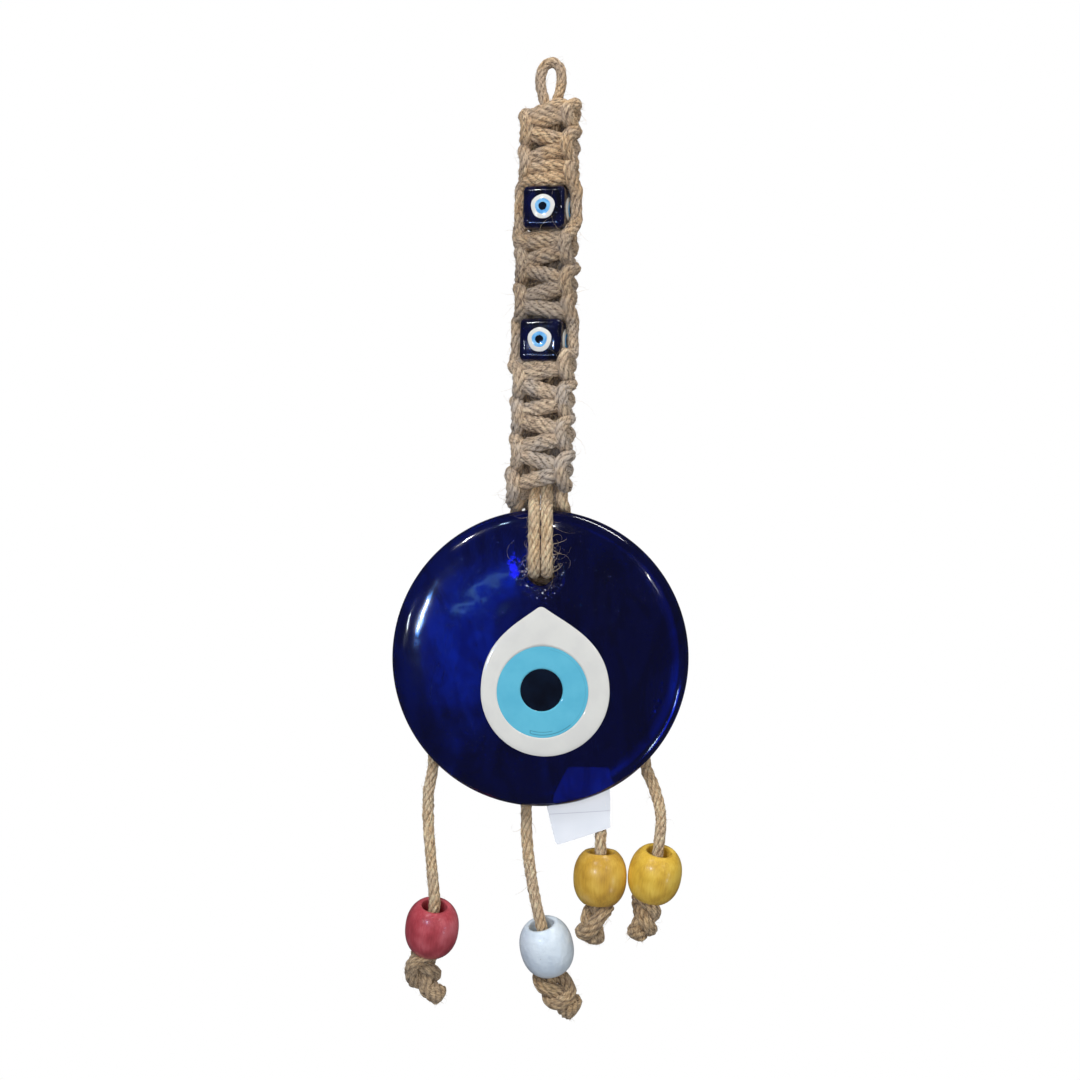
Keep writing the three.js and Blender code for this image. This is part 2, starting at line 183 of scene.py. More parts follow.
def smooth_path(points):
    """A centripetal Catmull-Rom curve through the points, resampled at an even spacing."""
    p = np.asarray(points, float)
    p = np.vstack([2 * p[0] - p[1], p, 2 * p[-1] - p[-2]])
    fine = []
    for a, b, c, d in zip(p[:-3], p[1:-2], p[2:-1], p[3:]):
        k = np.cumsum([0.0, *(math.sqrt(max(np.linalg.norm(v), 1e-6)) for v in (b - a, c - b, d - c))])
        t = np.linspace(k[1], k[2], 24, endpoint=False)[:, None]
        ab = a + (b - a) * (t - k[0]) / (k[1] - k[0])
        bc = b + (c - b) * (t - k[1]) / (k[2] - k[1])
        cd = c + (d - c) * (t - k[2]) / (k[3] - k[2])
        abc = ab + (bc - ab) * (t - k[0]) / (k[2] - k[0])
        bcd = bc + (cd - bc) * (t - k[1]) / (k[3] - k[1])
        fine.append(abc + (bcd - abc) * (t - k[1]) / (k[2] - k[1]))
    fine = np.vstack([*fine, p[-2:-1]])
    along = lengths_along(fine)
    count = max(int(round(along[-1] / RING_STEP)), 2)
    return points_at(fine, along, np.linspace(0, along[-1], count + 1))


# ---- node materials

class Shader:
    """A procedural material; its nodes are added one at a time."""

    def __init__(self, name):
        self.material = bpy.data.materials.new(name)
        self.material.use_nodes = True
        self.tree = self.material.node_tree
        self.place = self.add("TexCoord").outputs["Object"]

    def put(self, node, inputs):
        for key, value in inputs.items():
            if isinstance(value, bpy.types.NodeSocket):
                self.tree.links.new(value, node.inputs[key])
            else:
                node.inputs[key].default_value = value

    def add(self, kind, inputs=None, **settings):
        node = self.tree.nodes.new("ShaderNode" + kind)
        for key, value in settings.items():
            setattr(node, key, value)
        self.put(node, inputs or {})
        return node

    def attribute(self, name):
        return self.add("Attribute", attribute_name=name)

    def scaled(self, vector, scale):
        return self.add("VectorMath", {0: vector, 1: scale}, operation="MULTIPLY").outputs["Vector"]

    def distance(self, vector, place):
        return self.add("VectorMath", {0: vector, 1: place}, operation="DISTANCE").outputs["Value"]

    def axes(self, vector):
        return self.add("SeparateXYZ", {"Vector": vector}).outputs

    def noise(self, vector, scale, detail=3.0, roughness=0.55, distortion=0.0):
        inputs = {"Vector": vector, "Scale": scale, "Detail": detail, "Roughness": roughness,
                  "Distortion": distortion}
        return self.add("TexNoise", inputs).outputs["Fac"]

    def cells(self, vector, scale):
        return self.add("TexVoronoi", {"Vector": vector, "Scale": scale}).outputs["Distance"]

    def maths(self, operation, a, b=0.0, c=0.0):
        return self.add("Math", {0: a, 1: b, 2: c}, operation=operation).outputs["Value"]

    def times(self, a, b):
        return self.maths("MULTIPLY", a, b)

    def ramp(self, factor, *stops):
        node = self.add("ValToRGB", {"Fac": factor})
        elements = node.color_ramp.elements
        while len(elements) < len(stops):
            elements.new(0.5)
        for element, (place, colour) in zip(elements, stops):
            element.position = place
            element.color = (*colour, 1.0)
        return node.outputs["Color"]

    def spread(self, value, low, high, to_low=0.0, to_high=1.0):
        inputs = {"Value": value, "From Min": low, "From Max": high, "To Min": to_low, "To Max": to_high}
        return self.add("MapRange", inputs, interpolation_type="SMOOTHSTEP").outputs["Result"]

    def mix(self, factor, a, b, blend="MIX"):
        a, b = (c if isinstance(c, bpy.types.NodeSocket) else (*c, 1.0) for c in (a, b))
        return self.add("Mix", {0: factor, 6: a, 7: b}, data_type="RGBA", blend_type=blend).outputs[2]

    def bump(self, height, distance, strength=1.0, normal=None):
        inputs = {"Height": height, "Distance": distance, "Strength": strength}
        if normal is not None:
            inputs["Normal"] = normal
        return self.add("Bump", inputs).outputs["Normal"]

    def finish(self, **inputs):
        """Sets the surface's inputs, given by their names with _ for each space."""
        surface = self.tree.nodes["Principled BSDF"]
        self.put(surface, {key.replace("_", " "): value for key, value in inputs.items()})
        return self.material


def srgb(r, g, b):
    """A colour given as 0 to 255 in sRGB, as linear values."""
    shares = (r / 255, g / 255, b / 255)
    return tuple(v / 12.92 if v <= 0.04045 else ((v + 0.055) / 1.055) ** 2.4 for v in shares)


def times(colour, factor):
    """A colour made lighter or darker."""
    return tuple(min(1.0, factor * v) for v in colour)


def jute(name, light, mid, dark, greyness=0.35, pitted=0.5, weathered_and_shaded=0.0):
    """Twisted jute: pale fibres laid along the cord, painted shade and grime in the grooves between plies,
    and on the strap greying at its low end and painted shade by height.
    """
    s = Shader(name)
    lay = s.attribute("lay").outputs["Vector"]
    crest = s.attribute("crest").outputs["Fac"]
    tone = s.attribute("tone").outputs["Fac"]
    broad = s.noise(s.scaled(lay, (1.0, 1.0, 0.34)), 1.5, detail=4.0, roughness=0.7)
    fine = s.noise(s.scaled(lay, (1.0, 1.0, 0.16)), 4.5, roughness=0.7)
    streaks = s.maths("MULTIPLY_ADD", fine, 0.4, s.times(broad, 0.6))
    body = s.ramp(streaks, (0.38, dark), (0.46, mid), (0.53, light), (0.61, times(light, 1.3)))
    toned = s.mix(s.spread(tone, 0.0, 1.0, 0.0, 0.35), body, mid)
    patches = s.noise(s.place, 110.0, detail=2.0)
    washed = s.mix(0.72, toned, times(srgb(172, 166, 160), 0.9), "MULTIPLY")
    height = s.axes(s.place)["Z"]
    lower = s.spread(height, -0.095, -0.040, weathered_and_shaded, 0.0)
    amount = s.maths("ADD", s.spread(patches, 0.40, 0.62, 0.0, greyness), lower)
    grey = s.mix(s.maths("MINIMUM", amount, 1.0), toned, s.mix(0.65, washed, srgb(208, 198, 186)))
    # painted shade: the strap's colour is multiplied by the STRAP_SHADE brightness ramp over its height
    if weathered_and_shaded:
        level = s.spread(height, -0.12, 0.0)
        grey = s.mix(1.0, grey, s.ramp(level, *STRAP_SHADE), "MULTIPLY")
    pitting = s.noise(s.scaled(lay, (1.0, 1.0, 0.5)), 1.1, roughness=0.65)
    pits = s.spread(pitting, 0.38, 0.56, 0.4, 1.0)
    # painted shade and grime: the colour is darkened in the grooves between plies
    groove_dirt_and_shade = s.times(s.spread(crest, 0.3, 0.97, 1.0, 0.0), pits)
    grooves_darkened = s.mix(s.times(groove_dirt_and_shade, 0.66), grey, times(dark, 0.26))
    flecks = s.noise(s.scaled(lay, (1.0, 1.0, 0.45)), 2.3, detail=2.0, roughness=0.6)
    worn = s.mix(s.spread(flecks, 0.53, 0.66, 0.0, pitted), grooves_darkened, times(dark, 0.3))
    ridge = s.maths("MULTIPLY_ADD", fine, 0.7, broad)
    return s.finish(Base_Color=worn, Normal=s.bump(ridge, 0.0006, 1.0), Roughness=0.9,
                    Sheen_Weight=0.15, Sheen_Roughness=0.6)


def loose_fibre(name, colour):
    """Single jute fibres, from dark to pale along their length."""
    s = Shader(name)
    shade = s.noise(s.place, 900.0, detail=2.0)
    tint = s.ramp(shade, (0.36, times(colour, 0.4)), (0.6, times(colour, 1.1)))
    return s.finish(Base_Color=tint, Roughness=0.6, Sheen_Weight=0.3)


def cobalt(name, deep, bright, patch_scale, clear=0.9, lit=None, chipped=None):
    """Dark blue hand-made glass with brighter drifts of colour inside it, and painted light where lit is
    given.

    lit is a painted glow of light, where the colour is painted strongest: the middle and half the width,
    along X, of a slanting band.
    chipped is a place, such as the edge of a hole, round which the surface is rough, with painted glints and
    a painted blue glow."""
    s = Shader(name)
    drift = s.noise(s.scaled(s.place, (1.6, 1.0, 0.7)), patch_scale, detail=2.5, distortion=1.2)
    if lit:
        # painted light: a slanting band of the glass is painted brighter
        axes = s.axes(s.place)
        slant = s.maths("MULTIPLY_ADD", axes["Z"], -0.28, axes["X"])
        drift = s.maths("ADD", drift, s.spread(slant, lit[0] - lit[1], lit[0] + lit[1], 0.17, -0.13))
    colour = s.ramp(drift, (0.40, deep), (0.66, bright))
    if lit:
        # the painted glow is broken up by streaky veils that darken it
        veils = s.noise(s.scaled(s.place, (1.0, 1.0, 0.45)), 75.0, distortion=2.0)
        shade = s.ramp(veils, (0.42, (0.35, 0.45, 0.60)), (0.50, (1.0, 1.0, 1.0)))
        colour = s.mix(1.0, colour, shade, "MULTIPLY")
    normal = s.bump(s.noise(s.place, 55.0, detail=2.0), 0.0012, 0.4)
    bubbles = s.cells(s.place, 420.0)
    normal = s.bump(s.spread(bubbles, 0.06, 0.16), 0.00008, 0.6, normal)
    if chipped:
        colour, clear, normal = broken_edge(s, chipped, colour, clear, normal)
    return s.finish(Base_Color=colour, Normal=normal, Roughness=0.12, Transmission_Weight=clear,
                    Coat_Weight=0.8, Coat_IOR=1.4, Coat_Roughness=0.02, Coat_Normal=normal)


def broken_edge(s, centre, colour, clear, normal):
    """Chips round the hole with painted glints on them, and a painted glow of blue light beside it: colour,
    clearness and normal.
    """
    away = s.distance(s.place, centre)
    rough = s.spread(away, 0.0052, 0.0076, 1.0, 0.0)
    cells = s.cells(s.place, 900.0)
    some = s.spread(s.noise(s.place, 420.0, detail=1.0), 0.45, 0.53)
    normal = s.bump(s.times(s.times(cells, some), rough), 0.0012, 1.0, normal)
    ring = s.times(rough, s.spread(away, 0.0036, 0.0046))
    # painted glints: pale spots painted on the chipped glass round the hole
    chip_glint = s.times(s.spread(cells, 0.16, 0.30, 1.0, 0.0), s.times(some, ring))
    colour = s.mix(chip_glint, colour, (0.92, 0.96, 1.0))
    # painted light: an area beside the hole is painted bright blue, a glow of light through the glass
    tall = (1.0, 1.0, 0.5)
    apart = s.distance(s.scaled(s.place, tall), tuple(a * b for a, b in zip(BLUE_GLOW_PLACE, tall)))
    torn = s.maths("MULTIPLY_ADD", s.noise(s.place, 500.0, roughness=0.8), 0.006, apart)
    blue_glow = s.spread(torn, 0.0040, 0.0050, 1.0, 0.0)
    colour = s.mix(blue_glow, colour, (0.006, 0.010, 0.95))
    solid = s.maths("MAXIMUM", chip_glint, s.times(blue_glow, 0.4))
    return colour, s.spread(solid, 0.0, 0.5, clear, 0.0), normal


def opaque_glass(name, colour, shade, scale=160.0, seam=False):
    """Milky fused glass with faint clouds; seam adds the iris's fusing line."""
    s = Shader(name)
    tint = s.ramp(s.noise(s.place, scale), (0.35, shade), (0.6, colour))
    if seam:
        tint = s.mix(s.times(fusing_seam(s), 0.7), tint, times(colour, 0.35))
    waves = s.noise(s.place, 70.0, detail=2.0)
    return s.finish(Base_Color=tint, Normal=s.bump(waves, 0.0008, 0.07), Roughness=0.07)


def fusing_seam(s):
    """A faint dark line just inside the iris's lower edge, closed by a narrow loop at its left end."""
    centre = tuple((DISC_AT + [IRIS_AT[0], 0, IRIS_AT[1]]) * MM)
    place = s.add("VectorMath", {0: s.place, 1: centre}, operation="SUBTRACT").outputs["Vector"]
    axes = s.axes(place)
    flat = s.add("CombineXYZ", {"X": axes["X"], "Z": axes["Z"]}).outputs["Vector"]
    away = s.add("VectorMath", {0: flat}, operation="LENGTH").outputs["Value"]
    low = s.maths("LESS_THAN", axes["Z"], -0.0098)
    right_of_loop = s.maths("GREATER_THAN", axes["X"], -0.0036)
    left_of_end = s.maths("LESS_THAN", axes["X"], 0.0030)
    outer = s.maths("COMPARE", away, 0.01295, 0.00013)
    inner = s.maths("COMPARE", away, 0.01210, 0.00010)
    at_left = s.maths("COMPARE", axes["X"], -0.0037, 0.00012)
    cap = s.times(at_left, s.maths("COMPARE", away, 0.01252, 0.00043))
    lines = s.maths("MAXIMUM", outer, s.times(inner, left_of_end))
    strong = s.times(s.maths("MAXIMUM", s.times(lines, right_of_loop), cap), low)
    faint = s.times(outer, s.maths("GREATER_THAN", axes["X"], 0.002))
    return s.maths("MAXIMUM", strong, s.times(faint, 0.25))


# ---- meshes and pieces

def add_mesh(name, points, faces, material, attributes=None):
    """A smooth-shaded mesh object. faces is one array of quads, or several lists or arrays of faces."""
    mesh = bpy.data.meshes.new(name)
    groups = [faces] if isinstance(faces, np.ndarray) else faces
    polygons = [face for group in groups for face in np.asarray(group).tolist()]
    mesh.from_pydata((np.asarray(points, float) * MM).tolist(), [], polygons)
    mesh.polygons.foreach_set("use_smooth", np.ones(len(mesh.polygons), bool))
    for key, values in (attributes or {}).items():
        values = np.asarray(values, np.float32)
        kind, field = ("FLOAT_VECTOR", "vector") if values.ndim == 2 else ("FLOAT", "value")
        mesh.attributes.new(key, kind, "POINT").data.foreach_set(field, values.ravel())
    mesh.update()
    mesh.materials.append(material)
    obj = bpy.data.objects.new(name, mesh)
    bpy.context.scene.collection.objects.link(obj)
    return obj


def grid_faces(rows, columns, first=0, closed=True):
    """Quads between neighbouring rings of a grid whose vertices run ring by ring."""
    r = np.arange(rows - 1)[:, None]
    c = np.arange(columns if closed else columns - 1)[None, :]
    n = (c + 1) % columns
    quad = np.stack([r * columns + c, r * columns + n, (r + 1) * columns + n, (r + 1) * columns + c], axis=-1)
    return quad.reshape(-1, 4) + first


def joined_faces(rows, sides):
    """Quads of a grid whose last ring is joined to its first."""
    return grid_faces(rows + 1, sides) % (rows * sides)


def capped_faces(rows, sides):
    """Quads of a grid, and a flat cap at each end."""
    last = rows * sides
    return [grid_faces(rows, sides), [list(range(sides))[::-1], list(range(last - sides, last))]]


def attach(piece, body, slot, *nodes):
    """The piece rides with a body, and stands for the CAD nodes that it replaces."""
    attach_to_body(piece, body)
    if nodes:
        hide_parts(*nodes)


# ---- jute cord

class Strand:
    """A cord's centre line, with the frames that its surface and loose fibres grow from."""

    def __init__(self, points, diameter, seed):
        self.path = smooth_path(points)
        self.radius = np.full(len(self.path), diameter / 2)
        self.seed = seed
        self.s = lengths_along(self.path)
        self.tangent = unit(np.gradient(self.path, axis=0))
        self.normal = np.empty_like(self.path)
        side = np.cross(self.tangent[0], [0.0, 1.0, 0.0])
        if np.linalg.norm(side) < 0.1:
            side = np.cross(self.tangent[0], [1.0, 0.0, 0.0])
        for i, t in enumerate(self.tangent):
            side = unit(side - (side @ t) * t)
            self.normal[i] = side
        self.binormal = np.cross(self.tangent, self.normal)

    def part(self, start, end):
        """The stretch between two lengths along the cord, with the twist going on unbroken."""
        rows = np.flatnonzero((self.s >= start - 1e-6) & (self.s <= end + 1e-6))
        piece = object.__new__(Strand)
        piece.seed = self.seed
        for key in ("path", "radius", "s", "tangent", "normal", "binormal"):
            setattr(piece, key, getattr(self, key)[rows])
        return piece

    def length(self):
        return float(self.s[-1] - self.s[0])

    def skin(self):
        """The lobed surface of a twisted cord: points, lay coordinates, crest and tone."""
        draw = np.random.default_rng(self.seed)
        theta = circle(RING_SIDES)[0][None, :]
        s = self.s[:, None]
        turn = 2 * np.pi * s / LAY + 0.35 * np.sin(s / 7.3 + self.seed) + 0.2 * np.sin(s / 2.9)
        place = (theta - turn) * PLIES / (2 * np.pi)
        ply = np.floor(place).astype(int) % PLIES
        across = 2 * (place % 1.0) - 1
        crest = np.sqrt(np.clip(1 - 0.985 * across ** 2, 0, 1))
        phases = draw.uniform(0, 2 * np.pi, (4, PLIES))
        groove = (ply + (across > 0)) % PLIES
        depth = GROOVE * (1 + 0.55 * np.sin(s * 2 * np.pi / 5.3 + phases[3][groove]))
        wobble = sum(a * np.sin(s * 2 * np.pi / w + phases[k][ply])
                     for k, (a, w) in enumerate([(0.045, 9.1), (0.035, 4.3), (0.025, 1.7)]))
        sub = np.sin(2 * np.pi * (s / 1.9 + 0.8 * across) + phases[2][ply]) * np.sin(s / 1.3 + phases[0][ply])
        grain = 0.014 * draw.standard_normal((len(self.s), RING_SIDES)) + 0.03 * sub * crest
        squeeze = 1 + 0.03 * np.sin(s / 5.1 + phases[0][0]) * np.cos(2 * theta)
        radius = self.radius[:, None] * squeeze * (1 - depth * (1 - crest) + wobble * crest + grain)
        out = (np.cos(theta)[..., None] * self.normal[:, None, :]
               + np.sin(theta)[..., None] * self.binormal[:, None, :])
        points = self.path[:, None, :] + radius[..., None] * out
        back = theta + 0.16 * turn
        flat = np.stack([np.cos(back) * self.radius[:, None], np.sin(back) * self.radius[:, None],
                         np.broadcast_to(s, back.shape) + 31.7 * self.seed % 977], axis=-1)
        tone = 0.5 + 0.5 * np.sin(phases[1][ply] + s / 6.0)
        return points, flat, crest, np.broadcast_to(tone, crest.shape)


def cord_piece(name, strands, material):
    """One mesh holding the given strands, each closed at its ends."""
    skins = [strand.skin() for strand in strands]
    faces, caps, first = [], [], 0
    for points, *_ in skins:
        faces.append(grid_faces(len(points), RING_SIDES, first))
        after = first + len(points) * RING_SIDES
        caps += [list(range(first, first + RING_SIDES))[::-1], list(range(after - RING_SIDES, after))]
        first = after

    def joined(column, *shape):
        return np.concatenate([skin[column].reshape(-1, *shape) for skin in skins])

    attributes = {"lay": joined(1, 3), "crest": joined(2), "tone": joined(3)}
    return add_mesh(name, joined(0, 3), [np.vstack(faces), caps], material, attributes)


FUZZ = {                     # loose fibres: number per mm, share that stand off, and their reach
    "rear": (4.0, 0.15, 2.4),
    "tail": (8.0, 0.10, 2.4),
    "end_knot": (4.5, 0.25, 2.6),
    "strap": (15.0, 0.12, 2.6),
    "front": (12.0, 0.07, 3.4),
    "stopper": (3.0, 0.2, 2.5),
}


def fibres_on(strand, draw, fuzz, curl):
    """One strand's loose fibres: short ones that cling, and longer ones that stand off and curl."""
    per_mm, flyaway, reach = FUZZ[fuzz]
    count = int(strand.length() * per_mm)
    row = draw.integers(0, len(strand.path), count)
    angle = draw.uniform(0, 2 * np.pi, count)
    out = np.cos(angle)[:, None] * strand.normal[row] + np.sin(angle)[:, None] * strand.binormal[row]
    fly = draw.uniform(0, 1, count) < flyaway
    along = strand.tangent[row] * draw.choice([-1.0, 1.0], count)[:, None]
    lift = np.where(fly, draw.uniform(0.35, 1.4, count), draw.uniform(0.02, 0.28, count))[:, None]
    swirl = np.cross(strand.tangent[row], out) * draw.normal(0, 0.45, count)[:, None]
    root = strand.path[row] + out * (strand.radius[row] * 0.90)[:, None]
    length = np.where(fly, draw.gamma(2.4, reach / 2.4, count), draw.uniform(0.9, 2.4, count))
    amount = np.where(fly, curl * draw.uniform(0.3, 1.7, count), draw.uniform(0.2, 0.9, count))
    bend = unit(draw.standard_normal((count, 3)) - 0.6 * out) * amount[:, None]
    return root, unit(along + lift * out + swirl), length, bend


def hair_piece(name, strands, material, fuzz, seed, curl=1.6, knots=5, extra=()):
    """One mesh of the strands' loose fibres, each a thin three-sided spike along an arc.

    extra holds more hairs as (roots, directions, lengths, curls); a curl's size is its angle."""
    draw = np.random.default_rng(seed)
    groups = [fibres_on(strand, draw, fuzz, curl) for strand in strands]
    root, way, length, bend = (np.concatenate(column) for column in zip(*groups, *extra))
    t = np.linspace(0, 1, knots)[None, :, None]
    angle = np.linalg.norm(bend, axis=1)[:, None, None]
    aside = unit(bend - (bend * way).sum(axis=1, keepdims=True) * way)[:, None, :]
    ahead = way[:, None, :] * np.sin(angle * t) / angle + aside * (1 - np.cos(angle * t)) / angle
    line = root[:, None, :] + length[:, None, None] * ahead
    side = unit(np.cross(way, unit(draw.standard_normal(way.shape))))
    other = np.cross(way, side)
    thick = draw.uniform(0.028, 0.06, len(root))[:, None, None, None] * (1.05 - 0.8 * t[..., None])
    corner = np.array([0, 2, 4]) * np.pi / 3
    ring = (np.cos(corner)[None, None, :, None] * side[:, None, None, :]
            + np.sin(corner)[None, None, :, None] * other[:, None, None, :])
    points = (line[:, :, None, :] + thick * ring).reshape(-1, 3)
    block = knots * 3
    shift = (np.arange(len(root)) * block)[:, None, None]
    faces = (grid_faces(knots, 3)[None] + shift).reshape(-1, 4)
    ends = np.array([[2, 1, 0], [block - 3, block - 2, block - 1]])
    return add_mesh(name, points, [faces, (ends[None] + shift).reshape(-1, 3)], material)


def brush(centre, way, radius, seed):
    """A frayed cord end: a bundle of short fibres that opens a little."""
    count, length, opening = 520, 1.1, 0.35
    draw = np.random.default_rng(seed)
    way = unit(way)
    side = unit(np.cross(way, [0.31, 0.87, 0.38]))
    r = radius * np.sqrt(draw.uniform(0, 1, count))
    a = draw.uniform(0, 2 * np.pi, count)
    off = (np.cos(a) * r)[:, None] * side + (np.sin(a) * r)[:, None] * np.cross(way, side)
    lean = unit(way + off / radius * opening + 0.12 * draw.standard_normal((count, 3)))
    size = draw.uniform(0.55, 1.15, count) * length
    return np.asarray(centre) + off - way * 0.8, lean, size, 0.3 * unit(draw.standard_normal((count, 3)))


def even_gaps(p, gap):
    """Moves neighbouring points of the line to the same gap, every other pair at a time."""
    for first in (0, 1):
        a, b = p[first:-1:2], p[first + 1::2]
        d = b - a
        size = np.linalg.norm(d, axis=1, keepdims=True)
        fix = 0.5 * (size - gap) / np.maximum(size, 1e-6) * d
        a += fix
        b -= fix


def push_apart(p, pairs, gap):
    """Moves pairs of points that are far apart along the line, but closer than a diameter, off each other."""
    i, j = pairs[:, (pairs[1] - pairs[0]) * gap > 1.6]
    d = p[j] - p[i]
    size = np.linalg.norm(d, axis=1)
    hit = size < 1.0
    i, j, d, size = i[hit], j[hit], d[hit], size[hit]
    push = (0.5 * (1.0 - size) / np.maximum(size, 1e-6))[:, None] * d * 0.8
    np.add.at(p, i, -push)
    np.add.at(p, j, push)


def tight_overhand():
    """The centre line of a tightened overhand knot in a cord of diameter 1, its ends along +Z and -Z.

    A loose knot is pulled tight by shortening it while it is kept clear of itself."""
    turns, count, reach, least_gap = 1300, 96, 9.2, 0.26
    t = np.linspace(-2.25, 2.25, count)
    p = np.column_stack([t ** 3 - 3 * t, (t ** 5 - 10 * t) * 0.16, t ** 4 - 4 * t ** 2]) * 1.1
    p[:, 2] -= p[20:-20, 2].mean()
    ends = np.array([[-reach, 0, 0], [reach, 0, 0]])
    gap = np.linalg.norm(np.diff(p, axis=0), axis=1).mean()
    pairs = np.array(np.triu_indices(count, 3))
    for step in range(turns):
        p[[0, -1]] += (ends - p[[0, -1]]) * 0.02 * (0.3 + min(1.0, step / 250))
        gap = max(gap * 0.9985, least_gap)
        p[1:-1] += 0.12 * ((p[:-2] + p[2:]) / 2 - p[1:-1])
        for _ in range(6):
            even_gaps(p, gap)
        push_apart(p, pairs, gap)
    p -= p[count // 2 - 20:count // 2 + 20].mean(axis=0)
    return p[:, [2, 1, 0]] * [1, 1, -1]


# ---- camera, lights and floor

def make_camera():
    data = bpy.data.cameras.new("camera")
    data.sensor_width = 36.0
    data.lens = data.sensor_width * VIEW_DISTANCE / VIEW_WIDTH
    data.clip_start, data.clip_end = 0.01, 50.0
    camera = bpy.data.objects.new("camera", data)
    bpy.context.scene.collection.objects.link(camera)
    camera.location = Vector((VIEW_CENTRE - [0, VIEW_DISTANCE, 0]) * MM)
    camera.rotation_euler = (math.pi / 2, 0, 0)
    bpy.context.scene.camera = camera


def area_light(name, place, size, power, colour=(1, 1, 1), height=None, glossy=False):
    """A light that faces the middle of the object; place is in metres from there."""
    data = bpy.data.lights.new(name, "AREA")
    data.shape = "RECTANGLE"
    data.size, data.size_y = size, height or size
    data.energy = power
    data.color = colour
    light = bpy.data.objects.new(name, data)
    bpy.context.scene.collection.objects.link(light)
    light.location = Vector(VIEW_CENTRE * MM) + Vector(place)
    light.rotation_euler = (-Vector(place)).to_track_quat("-Z", "Y").to_euler()
    light.visible_camera = False
    light.visible_glossy = glossy
    light.visible_transmission = False
    return light


PLAIN = (1.0, 1.0, 1.0)      # the colour of white light
BROAD = {                    # lights that leave no patch on the glass: place, size, power, colour
    "key": ((-0.35, -0.75, 0.7), 0.45, 6.5, PLAIN),
    "fill": ((0.65, -0.8, 0.2), 0.6, 2.2, (1.0, 0.98, 0.95)),
    "front": ((0.0, -0.9, -0.1), 0.5, 1.5, PLAIN),
    "top": ((0.05, -0.05, 0.85), 0.5, 1.8, PLAIN),
    "behind_left": ((-0.5, 0.6, 0.1), 0.4, 1.4, PLAIN),
    "behind_right": ((0.6, 0.5, 0.0), 0.4, 1.4, PLAIN),
}

GLINTS = [                   # lights that show in the glass: place, width, height, power, colour
    ((-0.288, -0.65, 0.034), 0.018, 0.050, 0.50, PLAIN),
    ((-0.284, -0.65, 0.030), 0.060, 0.120, 0.40, (0.04, 0.30, 1.0)),
    ((0.030, -0.60, 0.350), 0.030, 0.030, 0.10, PLAIN),
    ((-0.460, -0.52, 0.050), 0.016, 0.070, 0.18, (0.8, 0.9, 1.0)),
    ((-0.300, -0.50, 0.420), 0.020, 0.030, 0.26, PLAIN),
    ((-0.160, -0.50, 0.480), 0.050, 0.012, 0.20, (0.5, 0.7, 1.0)),
    ((0.300, -0.200, 0.600), 0.050, 0.300, 0.90, PLAIN),
    ((0.500, -0.350, -0.450), 0.030, 0.080, 0.20, (0.6, 0.8, 1.0)),
    ((0.560, -0.350, -0.260), 0.020, 0.050, 0.12, (0.5, 0.7, 1.0)),
    ((0.420, -0.620, 0.220), 0.030, 0.045, 0.16, PLAIN),
    ((-0.062, -0.600, -0.008), 0.044, 0.016, 0.0022, (0.30, 0.70, 1.0)),
    ((-0.072, -0.600, -0.012), 0.050, 0.014, 0.0020, (0.25, 0.60, 1.0)),
    ((-0.088, -0.600, -0.018), 0.030, 0.024, 0.0016, (0.15, 0.45, 1.0)),
]

GLOWS = [                    # behind the disc, seen only through its glass: place, width, height, tilt, power
    ((-0.030, 0.42, -0.006), 0.016, 0.060, 18, 0.0007),
    ((-0.034, 0.42, -0.030), 0.026, 0.070, 22, 0.0008),
    ((-0.046, 0.42, -0.045), 0.034, 0.080, 26, 0.0012),
    ((-0.056, 0.42, -0.072), 0.040, 0.090, 12, 0.0014),
    ((-0.064, 0.42, -0.080), 0.034, 0.070, -8, 0.0012),
    ((-0.026, 0.42, -0.128), 0.014, 0.034, 14, 0.0003),
    ((-0.160, 0.42, 0.020), 0.050, 0.090, 0, 0.0300),
    ((-0.015, 0.42, -0.014), 0.009, 0.022, 8, 0.0006),
]


def make_world():
    """White behind the object for the camera, and a dim room for everything else."""
    world = bpy.data.worlds.new("room")
    bpy.context.scene.world = world
    world.use_nodes = True
    tree = world.node_tree
    seen = tree.nodes.new("ShaderNodeLightPath")
    mix = tree.nodes.new("ShaderNodeMix")
    mix.data_type = "RGBA"
    mix.inputs[6].default_value = (0.06, 0.063, 0.075, 1)
    mix.inputs[7].default_value = (1, 1, 1, 1)
    tree.links.new(seen.outputs["Is Camera Ray"], mix.inputs[0])
    tree.links.new(mix.outputs[2], tree.nodes["Background"].inputs["Color"])
    bpy.context.scene.view_settings.view_transform = "Standard"


def make_floor():
    """A pale floor far below, which lights the object from under it."""
    s = Shader("pale_floor")
    speckle = s.noise(s.place, 14.0, detail=4.0)
    grey = s.ramp(speckle, (0.3, (0.78, 0.78, 0.78)), (0.7, (0.84, 0.84, 0.84)))
    sides, reach, depth = 96, 1400.0, -1000.0
    rim = np.column_stack([circle(sides)[1] * reach, np.full(sides, depth)])
    floor = add_mesh("floor", rim, [[list(range(sides))]], s.finish(Base_Color=grey, Roughness=0.9))
    floor.visible_glossy = False
    floor.visible_transmission = False


def make_lights():
    for name, light in BROAD.items():
        area_light(name, *light)
    for number, (place, size, height, power, colour) in enumerate(GLINTS):
        area_light(f"glint_{number}", place, size, power, colour, height, glossy=True)
    for number, (place, size, height, tilt, power) in enumerate(GLOWS):
        glow = area_light(f"glow_{number}", place, size, power, (0.35, 0.8, 1.0), height)
        glow.rotation_euler.rotate_axis("Z", math.radians(-tilt))
        glow.visible_transmission = True


# ---- materials of the object

